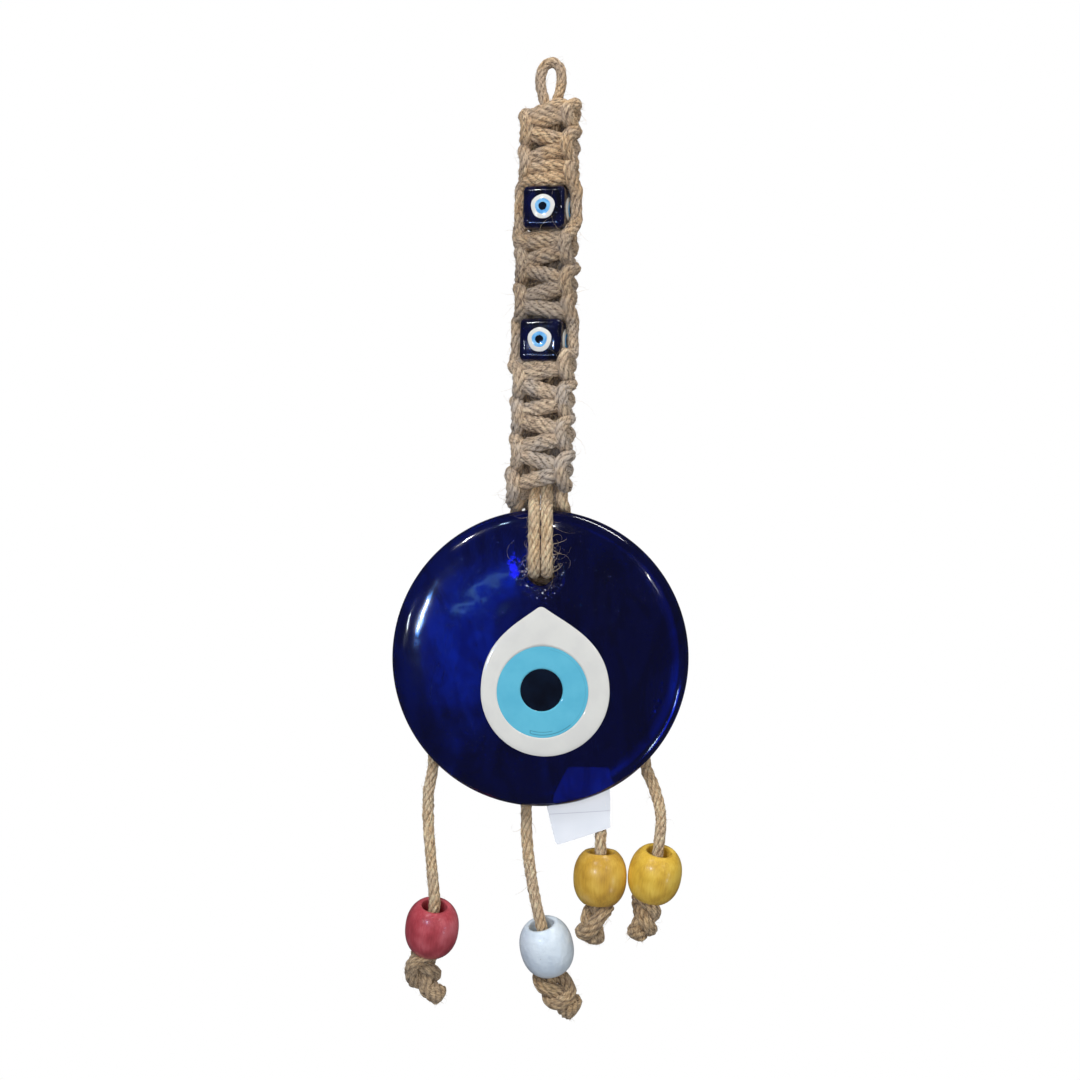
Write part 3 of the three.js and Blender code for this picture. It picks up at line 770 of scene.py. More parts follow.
STRAP_SHADE = [              # the strap's brightness from its low end up, against the photo's
    (0.26, (1.05, 1.05, 1.05)), (0.34, (0.74, 0.73, 0.72)),
    (0.56, (0.76, 0.75, 0.74)), (0.70, (0.95, 0.93, 0.92)),
]
STRAP_JUTE = jute("jute_strap", srgb(236, 203, 159), srgb(200, 162, 117), srgb(108, 74, 44), 0.5, 0.8, 0.45)
# painted shade: the core and packing cords inside the knotwork get a darker copy of the jute
SHADED_CORE_JUTE = jute("jute_core_shaded", srgb(150, 124, 92), srgb(112, 88, 62), srgb(58, 40, 26), 0.5, 0.7)
CORD_JUTE = jute("jute_cord", srgb(246, 216, 172), srgb(214, 178, 132), srgb(132, 92, 54), 0.25, 0.4)
KNOT_JUTE = jute("jute_knot", srgb(212, 182, 138), srgb(172, 138, 96), srgb(112, 82, 52), 0.18, 0.55)
STRAP_FIBRE = loose_fibre("fibre_strap", srgb(226, 198, 156))
CORD_FIBRE = loose_fibre("fibre_cord", srgb(224, 198, 158))
# painted light: the middle of the bright blue glow painted beside the hole
BLUE_GLOW_PLACE = tuple((DISC_AT + [-8.0, -HALF_THICK, 27.6]) * MM)
HOLE_PLACE = tuple((DISC_AT + [HOLE_AT[0], -HALF_THICK, HOLE_AT[1] - 1.0]) * MM)
DISC_GLASS = cobalt("cobalt_disc", (0.002, 0.009, 0.25), (0.004, 0.036, 0.66), 30.0, clear=0.97,
                    lit=(0.033, 0.022), chipped=HOLE_PLACE)
CUBE_GLASS = cobalt("cobalt_cube", (0.004, 0.004, 0.03), (0.01, 0.02, 0.26), 110.0)
WHITE = opaque_glass("glass_white", srgb(218, 216, 207), srgb(213, 211, 203))
SKY = opaque_glass("glass_sky", srgb(98, 184, 206), srgb(91, 177, 201), seam=True)
DOT_BLUE = opaque_glass("glass_dot_blue", srgb(130, 188, 228), srgb(80, 150, 208), 420.0)
DARK = opaque_glass("glass_dark", srgb(10, 20, 36), srgb(6, 10, 22))

# ---- course of the knotting cord

SIDE_X = 8.6                 # where the knotting cord runs straight down beside a cube bead
CORE_X = 1.7                 # each of the core cord's two strands, from the middle
PACK_X = 4.6                 # each of the packing cords beside them


BUMP = [                     # a half knot's bump: from behind the core, down the edge's front, and back
    (-2.2, 2.9, -0.40), (0.5, 1.2, -0.47), (0.6, -1.6, -0.40), (-0.5, -3.8, -0.23),
    (-0.8, -4.2, 0.03), (-0.3, -3.0, 0.26), (0.1, 0.3, 0.42), (-2.6, 3.0, 0.36),
]
BAR_TURN = [                 # the other cord: in from one bar, round the edge's back, out to the next
    (-2.8, -3.1, -0.135), (-1.5, -1.6, -0.10), (-0.5, 0.4, -0.07), (-0.1, 2.0, 0.0),
    (-0.5, 0.5, 0.08), (-1.5, -1.5, 0.10), (-2.8, -3.1, 0.135),
]


def at_edge(shape, side, down, spacing, out, jitter):
    """A half knot's points: x from the strap's edge, y, and z as a share of two half knots' spacing."""
    pitch = 2 * spacing
    return [tuple(np.add((side * (out + x), y, -(down + share * pitch)), jitter)) for x, y, share in shape]


LAST_BARS = {                # how the bar cord ends a stretch and reaches the left of the cube below it
    "upper": [(4.1, -3.1, 12.2), (5.4, -1.6, 11.9), (6.4, 0.4, 11.4), (6.8, 1.6, 10.6), (6.3, 0.4, 9.8),
              (5.4, -1.8, 9.3), (2.5, -3.6, 8.7), (-2.5, -3.5, 8.1), (-6.2, -1.8, 8.2), (-7.9, 0.2, 6.9)],
    "lower": [(4.6, -3.2, 8.9), (5.9, -1.6, 8.6), (6.9, 0.6, 8.3), (5.0, 3.0, 8.0), (0.0, 3.8, 8.0),
              (-5.5, 3.0, 8.2), (-7.9, 1.2, 7.2)],
}


def knotting_cord_routes():
    """The two halves of the knotting cord, from the top of the strap down to its last knot."""
    wobble = np.random.default_rng(11)
    bumps = [(0.0, 4.2, -14.2), (5.5, 3.2, -12.6)]
    bars = [(0.0, 4.0, -18.4), (-5.4, 3.2, -17.8), (-7.0, 1.0, -16.9), (-6.2, -1.8, -16.2),
            (-3.6, -3.4, -15.2)]
    for level, (start, spacing, count, out, cube) in KNOTS.items():
        for i in range(count):
            side = 1 if i % 2 == 0 else -1
            down = start + i * spacing
            first, last = level == "upper" and i == 0, level == "lower" and i == count - 1
            jitter = wobble.normal(0, 0.22, 3)
            shape = BUMP if i or first else BUMP[3:]
            height = spacing * (0.72 if first else 1)
            bumps += at_edge(shape, side, down + 1.3 * first, height, out + 1.3 * last, jitter)
            bars += at_edge(BAR_TURN, side, down, spacing, out, wobble.normal(0, 0.18, 3))
        if cube:
            middle = CUBES[cube]
            over = [(0.0 - out, 3.6, 11.5), (5.5 - out, 3.0, 13.2), (0.3, 0.4, 13.9), (0.1, -2.6, 12.7),
                    (0.2, -3.3, 10.6), (0.8, -2.1, 8.3)]
            bumps += [(out + x, y, middle + z) for x, y, z in over]
            bumps += [(SIDE_X + 0.2, y, middle + z) for y, z in ((-0.6, 5.4), (-0.2, 1.0), (-0.2, -4.0))]
            bars += [(x, y, middle + z) for x, y, z in LAST_BARS[cube]]
            bars += [(-SIDE_X, y, middle + z) for y, z in ((-0.2, 3.5), (-0.5, -1.5), (0.2, -6.0))]
            if cube == "lower":
                bars += [(-8.3, -1.6, middle - 8.0)]
            else:
                bars += [(-8.6, 0.4, middle - 8.4), (-7.4, -1.6, middle - 10.0)]
    return bumps, bars


# ---- tails

TAILS = {                    # the tail's course, its bead, and its end knot; tilt and roll in degrees
    "red": {
        "behind": [(-18.4, BACK, 27), (-26, BACK, 12), (-30.8, BACK, -4), (-33, BACK, -20)],
        "exit": (-32.95, BACK, -33.4),
        "hang": [(-34.4, 6.1, -42), (-34.3, 5, -52), (-33.6, 3.9, -60), (-32.9, 3.3, -68), (-32.4, 3.6, -74)],
        "bead": (-33.3, 5.6, -83.2),
        "last": (-34.6, 7.9, -91),
        "knot": (-36.3, 9, -96.6),
        "stub": (-30.2, 9.6, -105.8),
        "tilt": 20, "roll": 20, "flare": 0.50,
    },
    "white": {
        "behind": [(-2.6, 8.6, 16.6), (-3.6, 6.9, 10), (-4.3, BACK, -8), (-4.6, BACK, -26)],
        "exit": (-4.4, BACK, -45.6),
        "hang": [(-4.3, 6.3, -53), (-3.6, 5.4, -62), (-2.4, 4.4, -70), (-0.6, 3.9, -78.5)],
        "bead": (1.9, 5.7, -89),
        "last": (3.5, 7.7, -97),
        "knot": (4.2, 8.6, -101.9),
        "stub": (11.4, 9.2, -109.8),
        "tilt": 17, "roll": 200, "flare": 0.85,
    },
    "ochre": {
        "behind": [(2.8, 8.8, 16.6), (5.2, 7.6, 9), (10, 7.4, -8), (15, 7.4, -25)],
        "exit": (18.4, 7.4, -42),
        "hang": [(18.4, 7.3, -47), (18.4, 7.1, -52), (18.5, 6.9, -57)],
        "bead": (18.3, 7.1, -67.9),
        "last": (17.9, 7.8, -76),
        "knot": (16.6, 8.2, -80.9),
        "stub": (15.6, 8.6, -88.4),
        "tilt": 4, "roll": 100, "flare": 0.65,
    },
    "yellow": {
        "behind": [(17, BACK, 28), (24.4, BACK, 11), (29.6, BACK, -8), (31.9, BACK, -24)],
        "exit": (32.4, BACK, -34),
        "hang": [(34.6, 6.2, -39.5), (36.3, 5.5, -45), (36.9, 4.8, -50.5), (36.4, 4.3, -56)],
        "bead": (35.1, 6, -66.8),
        "last": (33.4, 7.7, -74.4),
        "knot": (32.4, 8.4, -79.2),
        "stub": (28.9, 8.8, -87.4),
        "tilt": 17, "roll": 300, "flare": 0.55,
    },
}
RIM_COURSE = [               # X and the angle round the top rim of the tails that come from the knotwork
    (6.8, -2), (7.2, -18), (7.4, -33), (7.6, -48), (8.6, -68), (10.6, -90),
]
KNOT_SIZE = 0.96             # of an end knot's course, against a knot tied in cord of diameter CORD_D
KNOT_FATTER = 1.26           # its cord's diameter, against CORD_D
FRAY_LENGTH = 9.0            # before the end, where the cord starts to flare
TIP_LENGTH = 1.8             # rounded off at the very end
KNOT_PATH = tight_overhand()


def make_tail(colour, tail, seed):
    """The run behind the disc and the free tail below it are one cord; the disc's rim parts them."""
    side = -1 if colour in ("red", "white") else 1
    from_knotwork = colour in ("red", "yellow")
    if from_knotwork:
        above = [*from_strap([(side * 6.4, 2.2, -STRAP_END + 4), (side * 6.4, 1.2, -STRAP_END)]),
                 *from_disc([over_rim(side * x, angle) for x, angle in RIM_COURSE])]
    else:
        above = from_disc([(side * 1.5, 10.5, 23)])
    exit_point = from_disc(tail["exit"])
    hanging = from_disc([*tail["hang"], tail["bead"], tail["last"]])
    whole = Strand([*above, *from_disc(tail["behind"]), exit_point, *hanging], CORD_D, seed)
    leave = float(whole.s[np.argmin(np.linalg.norm(whole.path - exit_point, axis=1))])
    run, free = whole.part(0, leave), whole.part(leave, whole.s[-1])

    rear = cord_piece(f"rear_cord_{colour}", [run], CORD_JUTE)
    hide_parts(f"rear_run_{colour}")
    fuzz = hair_piece(f"rear_fibres_{colour}", [run], CORD_FIBRE, "rear", seed + 50)
    for piece in (rear, fuzz):
        if from_knotwork:
            blend_over_rim(piece)
        else:
            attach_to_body(piece, "disc")

    cord = cord_piece(f"tail_{colour}_cord", [free], CORD_JUTE)
    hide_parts(f"tail_cord_{colour}")
    clear_of_knot = free.part(leave, free.s[-1] - 6)
    fuzz = hair_piece(f"tail_{colour}_fibres", [clear_of_knot], CORD_FIBRE, "tail", seed + 60)
    for piece in (cord, fuzz):
        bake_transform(piece)

    knot = make_end_knot(colour, tail, whole, seed)
    bead = make_bead(colour, tail)
    free.length() * MM
    return free.length()


def blend_over_rim(piece):
    """A piece of cord that bends round the disc's top rim, between the strap and the disc: its transform is
    baked into its mesh.
    """
    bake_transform(piece)


def knot_route(start, centre, stub, size, roll):
    """A tightened overhand knot on the cord that comes from start and ends at the stub."""
    core = KNOT_PATH[np.abs(KNOT_PATH[:, 2]) < 1.8] * size @ turn_about("Z", roll).T
    axis = unit(np.asarray(start) - np.asarray(stub))
    side = unit(np.cross(axis, [0.0, 1.0, 0.0]))
    return [start, *(core @ np.array([side, -np.cross(side, axis), axis]) + centre), stub]


def make_end_knot(colour, tail, whole, seed):
    """The tail's end knot, in cord that is fatter than the tail's and flares to a frayed end."""
    centre, stub = from_disc(tail["knot"]), from_disc(tail["stub"])
    route = knot_route(whole.path[-5], centre, stub, CORD_D * KNOT_SIZE, tail["roll"])
    strand = Strand(route, CORD_D * KNOT_FATTER, seed + 7)
    strand.radius[:12] = np.linspace(CORD_D / 2, strand.radius[12], 12)
    to_end = strand.s - strand.s[-1]
    strand.radius *= 1 + tail["flare"] * np.clip((to_end + FRAY_LENGTH) / 6, 0, 1)
    full = strand.radius[-1]
    strand.radius *= np.sqrt(1 - 0.8 * np.clip((to_end + TIP_LENGTH) / TIP_LENGTH, 0, 1) ** 2)
    knot = cord_piece(f"end_knot_{colour}_cord", [strand], KNOT_JUTE)
    way = strand.tangent[-1]
    frayed = brush(strand.path[-1] - way * 0.5, way, full * 0.8, seed + 8)
    fuzz = hair_piece(f"end_knot_{colour}_fibres", [strand], STRAP_FIBRE, "end_knot", seed + 9,
                      extra=[frayed])
    attach(knot, f"tail_{colour}", "jute", f"end_knot_{colour}")
    attach(fuzz, f"tail_{colour}", "jute")
    return knot


# ---- wooden beads

def stained(name, light, mid, dark, grain=0.35):
    """Stained and waxed wood, its grain running along the hole."""
    s = Shader(name)
    lines = s.noise(s.scaled(s.place, (1.0, 1.0, 0.10)), 1700.0, detail=4.0, roughness=0.6)
    pores = s.noise(s.scaled(s.place, (1.0, 1.0, 0.08)), 2600.0, detail=2.0)
    clouds = s.noise(s.place, 120.0, detail=2.0)
    figure = s.maths("MULTIPLY_ADD", lines, grain, s.times(clouds, 1 - grain))
    body = s.ramp(figure, (0.26, dark), (0.46, mid), (0.60, light))
    flecked = s.mix(s.spread(pores, 0.66, 0.76, 0.0, 0.3), body, dark)
    return s.finish(Base_Color=flecked, Normal=s.bump(lines, 0.0002, 0.35), Roughness=0.35,
                    Coat_Weight=0.5, Coat_Roughness=0.2)


def painted(name, light, shade, chip):
    """Thick glossy paint with dents, worn through in a few places."""
    s = Shader(name)
    paint = s.ramp(s.noise(s.place, 150.0), (0.35, shade), (0.6, light))
    dents = s.noise(s.place, 520.0, detail=2.0)
    chips = s.noise(s.place, 700.0, detail=4.0, roughness=0.7)
    worn = s.mix(s.spread(chips, 0.68, 0.72, 0.0, 0.7), paint, chip)
    return s.finish(Base_Color=worn, Normal=s.bump(dents, 0.0006, 0.5), Roughness=0.28,
                    Coat_Weight=0.3, Coat_Roughness=0.15)


BEAD_WOOD = {
    "red": stained("wood_red", srgb(202, 98, 104), srgb(178, 68, 76), srgb(132, 40, 46), 0.25),
    "white": painted("wood_white", srgb(226, 236, 241), srgb(208, 220, 229), srgb(150, 150, 148)),
    "ochre": stained("wood_ochre", srgb(226, 186, 80), srgb(206, 160, 58), srgb(158, 112, 38), 0.3),
    "yellow": stained("wood_yellow", srgb(242, 204, 86), srgb(224, 180, 62), srgb(180, 128, 40), 0.3),
}


def bead_profile():
    """Outline of a barrel bead with rounded hole edges, as radius and height, closed through the hole."""
    fullness, half, lip = 2.3, BEAD_LENGTH / 2, 0.45
    share = 1 - (BEAD_END_R / BEAD_R) ** fullness
    t = np.sin(np.linspace(-np.pi / 2, np.pi / 2, 49))
    barrel = BEAD_R * (1 - share * np.abs(t) ** fullness) ** (1 / fullness)
    a = np.linspace(0, np.pi / 2, 6)[1:]
    top = np.column_stack([BEAD_HOLE_R + lip * (1 - np.sin(a)), half - lip * (1 - np.cos(a))])
    z = np.linspace(half - 1.2, 1.2 - half, 12)
    hole = np.column_stack([np.full(len(z), BEAD_HOLE_R), z])
    return np.vstack([np.column_stack([barrel, t * half]), top, hole, top[::-1] * [1, -1]])


def lathe(profile, sides):
    """Points and quads of a closed outline turned about +Z."""
    ring = circle(sides)[1]
    flat = profile[:, None, :1] * ring
    points = np.concatenate([flat, np.broadcast_to(profile[:, None, 1:], (len(profile), sides, 1))], axis=-1)
    return points.reshape(-1, 3), joined_faces(len(profile), sides)


def make_bead(colour, tail):
    """The wooden bead, leaning as the cord does where it goes through."""
    hang, last = np.array(tail["hang"][-1]), np.array(tail["last"])
    lean = unit((hang - last) * [1, 0, 1])
    lean[1] = -math.tan(math.radians(tail["tilt"]))
    bead = add_mesh(f"{colour}_bead", *lathe(bead_profile(), 96), BEAD_WOOD[colour])
    bead.rotation_mode = "QUATERNION"
    bead.rotation_quaternion = Vector(unit(lean)).to_track_quat("Z", "Y")
    bead.location = Vector(from_disc(tail["bead"]) * MM)
    attach(bead, f"bead_{colour}", f"{colour}_wood", f"wood_bead_{colour}")
    return bead


# ---- the strap, the front strands and the stopper

def cube_whiskers():
    """Single hairs that lie across the cube beads' faces from the cords above and below."""
    count, past_middle = 26, 7.6
    draw = np.random.default_rng(27)
    sign = draw.choice([-1.0, 1.0], count, p=[0.75, 0.25])
    middle = draw.choice(list(CUBES.values()), count)
    root = np.column_stack([draw.uniform(-6.5, 7.0, count), -draw.uniform(3.0, 5.6, count),
                            middle + sign * past_middle])
    way = np.column_stack([draw.normal(0, 1.0, count), np.full(count, -0.75),
                           -sign * draw.uniform(0.2, 1.0, count)])
    turn = np.column_stack([draw.standard_normal(count), np.full(count, 0.5), draw.standard_normal(count)])
    length = draw.uniform(3.5, 8.0, count)
    return from_strap(root), unit(way) @ STRAP.T, length, (unit(turn) * 1.4) @ STRAP.T


def strap_cord(points, diameter, seed):
    """A cord whose points are in the strap's own leaning frame."""
    return Strand(from_strap(points), diameter, seed)


def packing_strands():
    """Hidden cords that fill the knotwork on both sides of the core, and behind the cubes' ends."""
    strands = []
    for number, (top, bottom) in enumerate([(-12.6, -36.2), (-51, -76.2), (-91, -133)]):
        for side in (-1, 1):
            x = side * PACK_X
            line = [(side * 3.6, 1.4, top), (x, 1.0, top - 3), (x, 1.0, bottom)]
            if number == 2:
                line[2:] = [(x, 1.0, -122), (side * 4.3, 2.4, -130.5), (side * 4.3, 5.6, -136)]
            strands.append(strap_cord(line, CORD_D, seed=60 + 2 * number + side))
    for number, middle in enumerate(CUBES.values()):
        for z in (middle - 8.4, middle + 8.4):
            across = [(-8.0, 3.0, z), (0, 4.2, z), (8.0, 3.0, z)]
            strands.append(strap_cord(across, CORD_D, seed=80 + number))
    return strands


def collar_strands():
    """The cord that crosses the front just below each cube bead."""
    line = np.array([(-7.8, 1.8, -9.4), (-6.4, -1.2, -8.7), (0, -2.5, -7.9), (6.2, -1.4, -8.0),
                     (7.6, 1.6, -8.6)])
    return [strap_cord(line + [0, 0, middle], CORD_D, seed=70 + number)
            for number, middle in enumerate(CUBES.values())]


def make_strap():
    """The hanging loop, the core cord, the knotwork round it and the fibres of them all."""
    bumps, bars = knotting_cord_routes()
    right = [(1.6, 0, -26), (1.6, 0, -18), (1.7, 0, -15.4), (1.8, 0, -11), (2.9, 0, -7), (3.3, 0, -3.4),
             (2.4, 0, 0)]
    left = [(-x, y, z) for x, y, z in reversed(right)]
    loop = strap_cord([*right, (0, 0, 1.55), *left], TIGHT_D, seed=3)
    cores = [strap_cord([(x, 0, -24), (x, 0, -70), (x, 0, -124)], CORD_D, seed)
             for x, seed in ((-CORE_X, 4), (CORE_X, 6))]
    hitch, wrap = strap_cord(bumps, HITCH_D, seed=8), strap_cord(bars, WRAP_D, seed=9)
    for strand, drawn in ((hitch, 0.21), (wrap, 0.31)):      # pulled thinner beside the cube beads
        for middle in CUBES.values():
            strand.radius *= 1 - drawn * np.exp(-((strand.path[:, 2] - middle) / 5.0) ** 4)
    packing, collars = packing_strands(), collar_strands()
    side_cords = [f"side_cord_{level}_{hand}" for level in CUBES for hand in ("left", "right")]
    attach(cord_piece("hanging_loop_rope", [loop], STRAP_JUTE), "root", "jute")
    attach(cord_piece("core_cord_rope", cores, SHADED_CORE_JUTE), "root", "jute", "core_cord")
    attach(cord_piece("packing_rope", packing, SHADED_CORE_JUTE), "root", "jute")
    attach(cord_piece("knotwork_rope", [hitch, wrap, *collars], STRAP_JUTE), "root", "jute",
           "knotwork_upper", "knotwork_middle", "knotwork_lower", *side_cords)
    bundles = [("core_fibres", [loop, *cores, *packing], []),
               ("hitch_fibres", [hitch, *collars], [cube_whiskers()]),
               ("wrap_fibres", [wrap], [])]
    for seed, (name, strands, extra) in enumerate(bundles, 21):
        fuzz = hair_piece(name, strands, STRAP_FIBRE, "strap", seed, knots=4, extra=extra)
        attach(fuzz, "root", "jute")


def face_curls(strands):
    """Long curly hairs that lie out to both sides of the front strands, over the disc's face."""
    count = 80
    draw = np.random.default_rng(35)
    which = draw.integers(0, 2, count)
    share = draw.beta(2.2, 1.2, count)
    row = (np.array([len(strands[w].path) for w in which]) * (0.30 + 0.58 * share)).astype(int)
    side = np.where(which == 0, -1.0, 1.0)
    off = np.column_stack([side * 1.5, -draw.uniform(0.1, 1.2, count), np.zeros(count)])
    root = np.array([strands[w].path[r] for w, r in zip(which, row)]) + off
    heading = draw.uniform(-1.9, 1.9, count)
    out = 0.3 * draw.standard_normal(count) - 0.15
    way = unit(np.column_stack([side * np.cos(heading), out, np.sin(heading)]))
    turn = unit(np.column_stack([draw.standard_normal(count), 0.25 * draw.standard_normal(count),
                                 draw.standard_normal(count)]))
    return root, way, draw.gamma(3.0, 1.6, count) + 1.0, turn * draw.uniform(1.5, 6.0, count)[:, None]


def make_front_strands():
    """The core cord's ends: over the rim, down the disc's face, and into its hole."""
    strands = []
    for side in (-1, 1):
        x = side * (CORD_D + 0.3) / 2
        down = [*(over_rim(x, angle) for angle in (2, 20, 35, 50, 68)),
                *((x, y, z) for y, z in ((-BACK, 39.5), (-BACK, 35), (-BACK, 31), (-6, 28.2), (-4, 26.4),
                                         (-1, 25.9), (2, 25.9), (4.9, 25.9)))]
        inside = from_strap([(side * CORE_X, 0, -STRAP_END + 12), (side * 1.8, -0.3, -STRAP_END + 4)])
        strands.append(Strand([*inside, *from_disc(down)], CORD_D + 0.2, seed=30 + side))
    cord = cord_piece("front_strands_rope", strands, CORD_JUTE)
    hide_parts("front_strand_left", "front_strand_right")
    fuzz = hair_piece("front_strands_fibres", strands, CORD_FIBRE, "front", 33, curl=3.2, knots=8,
                      extra=[face_curls(strands)])
    for piece in (cord, fuzz):
        blend_over_rim(piece)


def make_stopper():
    """Both core ends tied together behind the hole in one overhand knot."""
    middle = Strand(KNOT_PATH[np.abs(KNOT_PATH[:, 2]) < 2.0] * [4.9, 3.4, 4.6], diameter=1.0, seed=0)
    strands = []
    for side in (-1, 1):
        path = middle.path + middle.binormal * side * 1.3 + [0, 10.2, 24]
        strands.append(Strand(from_disc(path), CORD_D - 0.2, seed=40 + side))
    for seed, height in ((44, 23.6), (45, 27.4)):
        across = [(-5.4, 9.4, height), (0, 8.0, height), (5.4, 9.4, height)]
        strands.append(Strand(from_disc(across), CORD_D, seed))
    attach(cord_piece("stopper_knot_rope", strands, KNOT_JUTE), "disc", "jute", "stopper_knot")
    attach(hair_piece("stopper_knot_fibres", strands, STRAP_FIBRE, "stopper", 43), "disc", "jute")


# ---- glass disc and its eye

def face_height(radius):
    """How far the disc's front or back stands from its middle plane: nearly flat, falling off to the rim."""
    return HALF_THICK * np.sqrt(np.clip(1 - (np.clip(radius, 0, DISC_R) / DISC_R) ** 7, 0, 1))


def make_disc():
    """One closed skin: over the front from the hole, round the rim, back over the rear, through the hole."""
    sides = 288
    a, ring = circle(sides)
    phases = np.random.default_rng(5).uniform(0, 2 * np.pi, 8)
    inner = HOLE_AT + HOLE_R * ring
    inner += ring * sum(0.12 * np.sin(k * a + phases[k]) for k in (2, 3, 5))[:, None]
    near = np.concatenate([np.linspace(0, 0.2, 26) ** 1.1, np.linspace(0.2, 1, 46)[1:-1] ** 0.9])
    near = np.sort(near / near.max() * 0.985)
    edge = 1 - (1 - near[-1]) * np.cos(np.linspace(0, np.pi / 2, 14)) ** 1.5
    shares = np.concatenate([near, edge[1:]])
    rows = np.array([inner + (DISC_R * ring - inner) * share for share in shares])
    height = face_height(np.linalg.norm(rows, axis=-1))
    from_hole = np.linalg.norm(rows - HOLE_AT, axis=-1) - HOLE_R
    dip = CRATER_DEPTH * np.clip(1 - from_hole / (CRATER_R - HOLE_R), 0, 1) ** 2
    waves = ((7, 2.3), (11, -3.1), (17, 4.0))
    chips = sum(np.sin(k * a + phases[i] + from_hole * twist) for i, (k, twist) in enumerate(waves))
    dip += 0.22 * chips * np.exp(-((from_hole - 1.2) / 1.2) ** 2)
    back_dip = 0.5 * np.clip(1 - from_hole / 1.2, 0, 1) ** 2
    front = np.stack([rows[..., 0], -height + dip, rows[..., 1]], axis=-1)
    back = np.stack([rows[..., 0], height - back_dip, rows[..., 1]], axis=-1)
    wall = [front[0] + (back[0] - front[0]) * t for t in np.linspace(0, 1, 9)[1:-1]]
    skin = np.vstack([front, back[:-1][::-1], np.array(wall)[::-1]])
    faces = joined_faces(len(skin), sides)[:, ::-1]
    disc = add_mesh("cobalt_disc", from_disc(skin.reshape(-1, 3)), faces, DISC_GLASS)
    attach(disc, "disc", "cobalt_glass", "glass_disc")


def bezier(*points):
    """A Bezier curve of 61 points through its first and last control points."""
    t = np.linspace(0, 1, 61)[:, None]
    n = len(points) - 1
    return sum(math.comb(n, i) * (1 - t) ** (n - i) * t ** i * np.asarray(p, float)
               for i, p in enumerate(points))


def drop_outline():
    """The white drop in the disc's frame: an arc below, and two curves that meet in a blunt tip above."""
    slope = math.radians(36)
    shoulder, reach, blunt = 15.2, 10.5, 1.6

    def along(side, far):
        return EYE_TIP + [side * far * math.cos(slope), -far * math.sin(slope)]

    a = np.linspace(np.pi, 2 * np.pi, 121)
    arc = EYE_R * np.column_stack([np.cos(a), np.sin(a)])
    left = bezier(along(-1, blunt), along(-1, reach), (-EYE_R, shoulder), (-EYE_R, 0))
    right = bezier((EYE_R, 0), (EYE_R, shoulder), along(1, reach), along(1, blunt))
    tip = bezier(along(1, blunt), EYE_TIP, along(-1, blunt))
    return even_outline(np.vstack([left, arc[1:], right[1:], tip[1:-1]]) + EYE_AT, EYE_SIDES)


def circle_outline(centre, radius, like):
    """A circle whose points face the points of another outline."""
    return centre + radius * unit(like - centre)


def eye_front(points, drop):
    """The fused eye stands just proud of the disc, rounded over at the drop's edge."""
    gap = np.linalg.norm(points[:, None, :] - drop[None], axis=2).min(axis=1)
    round_over = 1 - np.exp(-gap / 0.8)
    return -face_height(np.linalg.norm(points, axis=1)) - 0.04 - 0.32 * round_over


def fused_skin(front, back, solid):
    """Points and faces of a piece of fused glass: a ring, or a whole disk with its middle capped."""
    skin = np.vstack([back[::-1], front]) if solid else np.vstack([front, back[::-1]])
    faces = (capped_faces if solid else joined_faces)(len(skin), skin.shape[1])
    return skin.reshape(-1, 3), faces


def eye_piece(name, node, slot, outer, inner, drop, material):
    """A flat-backed piece of fused glass between two outlines."""
    t = np.linspace(0, 1, 18) ** 1.5
    flat = outer + (inner - outer) * t[:, None, None]
    front = np.stack([np.column_stack([ring[:, 0], eye_front(ring, drop), ring[:, 1]]) for ring in flat])
    back = front.copy()
    back[..., 1] = EYE_DEPTH - HALF_THICK
    points, faces = fused_skin(front, back, solid=np.ptp(inner[:, 0]) < 1.5)
    attach(add_mesh(name, from_disc(points), faces, material), "disc", slot, node)


def make_eye():
    drop = drop_outline()
    iris = circle_outline(IRIS_AT, IRIS_R, drop)
    pupil = circle_outline(PUPIL_AT, PUPIL_R, iris)
    middle = circle_outline(PUPIL_AT, 0.5, iris)
    eye_piece("white_drop", "eye_white", "white_glass", drop, iris, drop, WHITE)
    eye_piece("sky_iris", "eye_iris", "light_blue_glass", iris, pupil, drop, SKY)
    eye_piece("dark_pupil", "eye_pupil", "black_glass", pupil, middle, drop, DARK)


# ---- cube beads

DOT_R = 3.65
DOT_DEPTH = 1.0
DOTS = [                     # outer and inner radius, slot and glass of each layer
    ("white", DOT_R, 2.35, "white_glass", WHITE),
    ("blue", 2.35, 1.25, "light_blue_glass", DOT_BLUE),
    ("pupil", 1.25, 0.2, "black_glass", DARK),
]


def rounded_cube(size, corner, cells=20):
    """Points and quads of a cube with rounded edges, as six grids over the sphere of its corners."""
    t = np.tan(np.linspace(-np.pi / 4, np.pi / 4, cells + 1))
    u, v = np.meshgrid(t, t, indexing="ij")
    points, faces, first = [], [], 0
    for axis in range(3):
        for sign in (-1, 1):
            p = np.empty((cells + 1, cells + 1, 3))
            p[..., axis], p[..., (axis + 1) % 3], p[..., (axis + 2) % 3] = sign, u, v
            flat = p.reshape(-1, 3) * size / 2
            inside = np.clip(flat, -(size / 2 - corner), size / 2 - corner)
            points.append(inside + corner * unit(flat - inside))
            quads = grid_faces(cells + 1, cells + 1, first, closed=False)
            faces.append(quads if sign > 0 else quads[:, ::-1])
            first += (cells + 1) ** 2
    return np.vstack(points), np.vstack(faces)


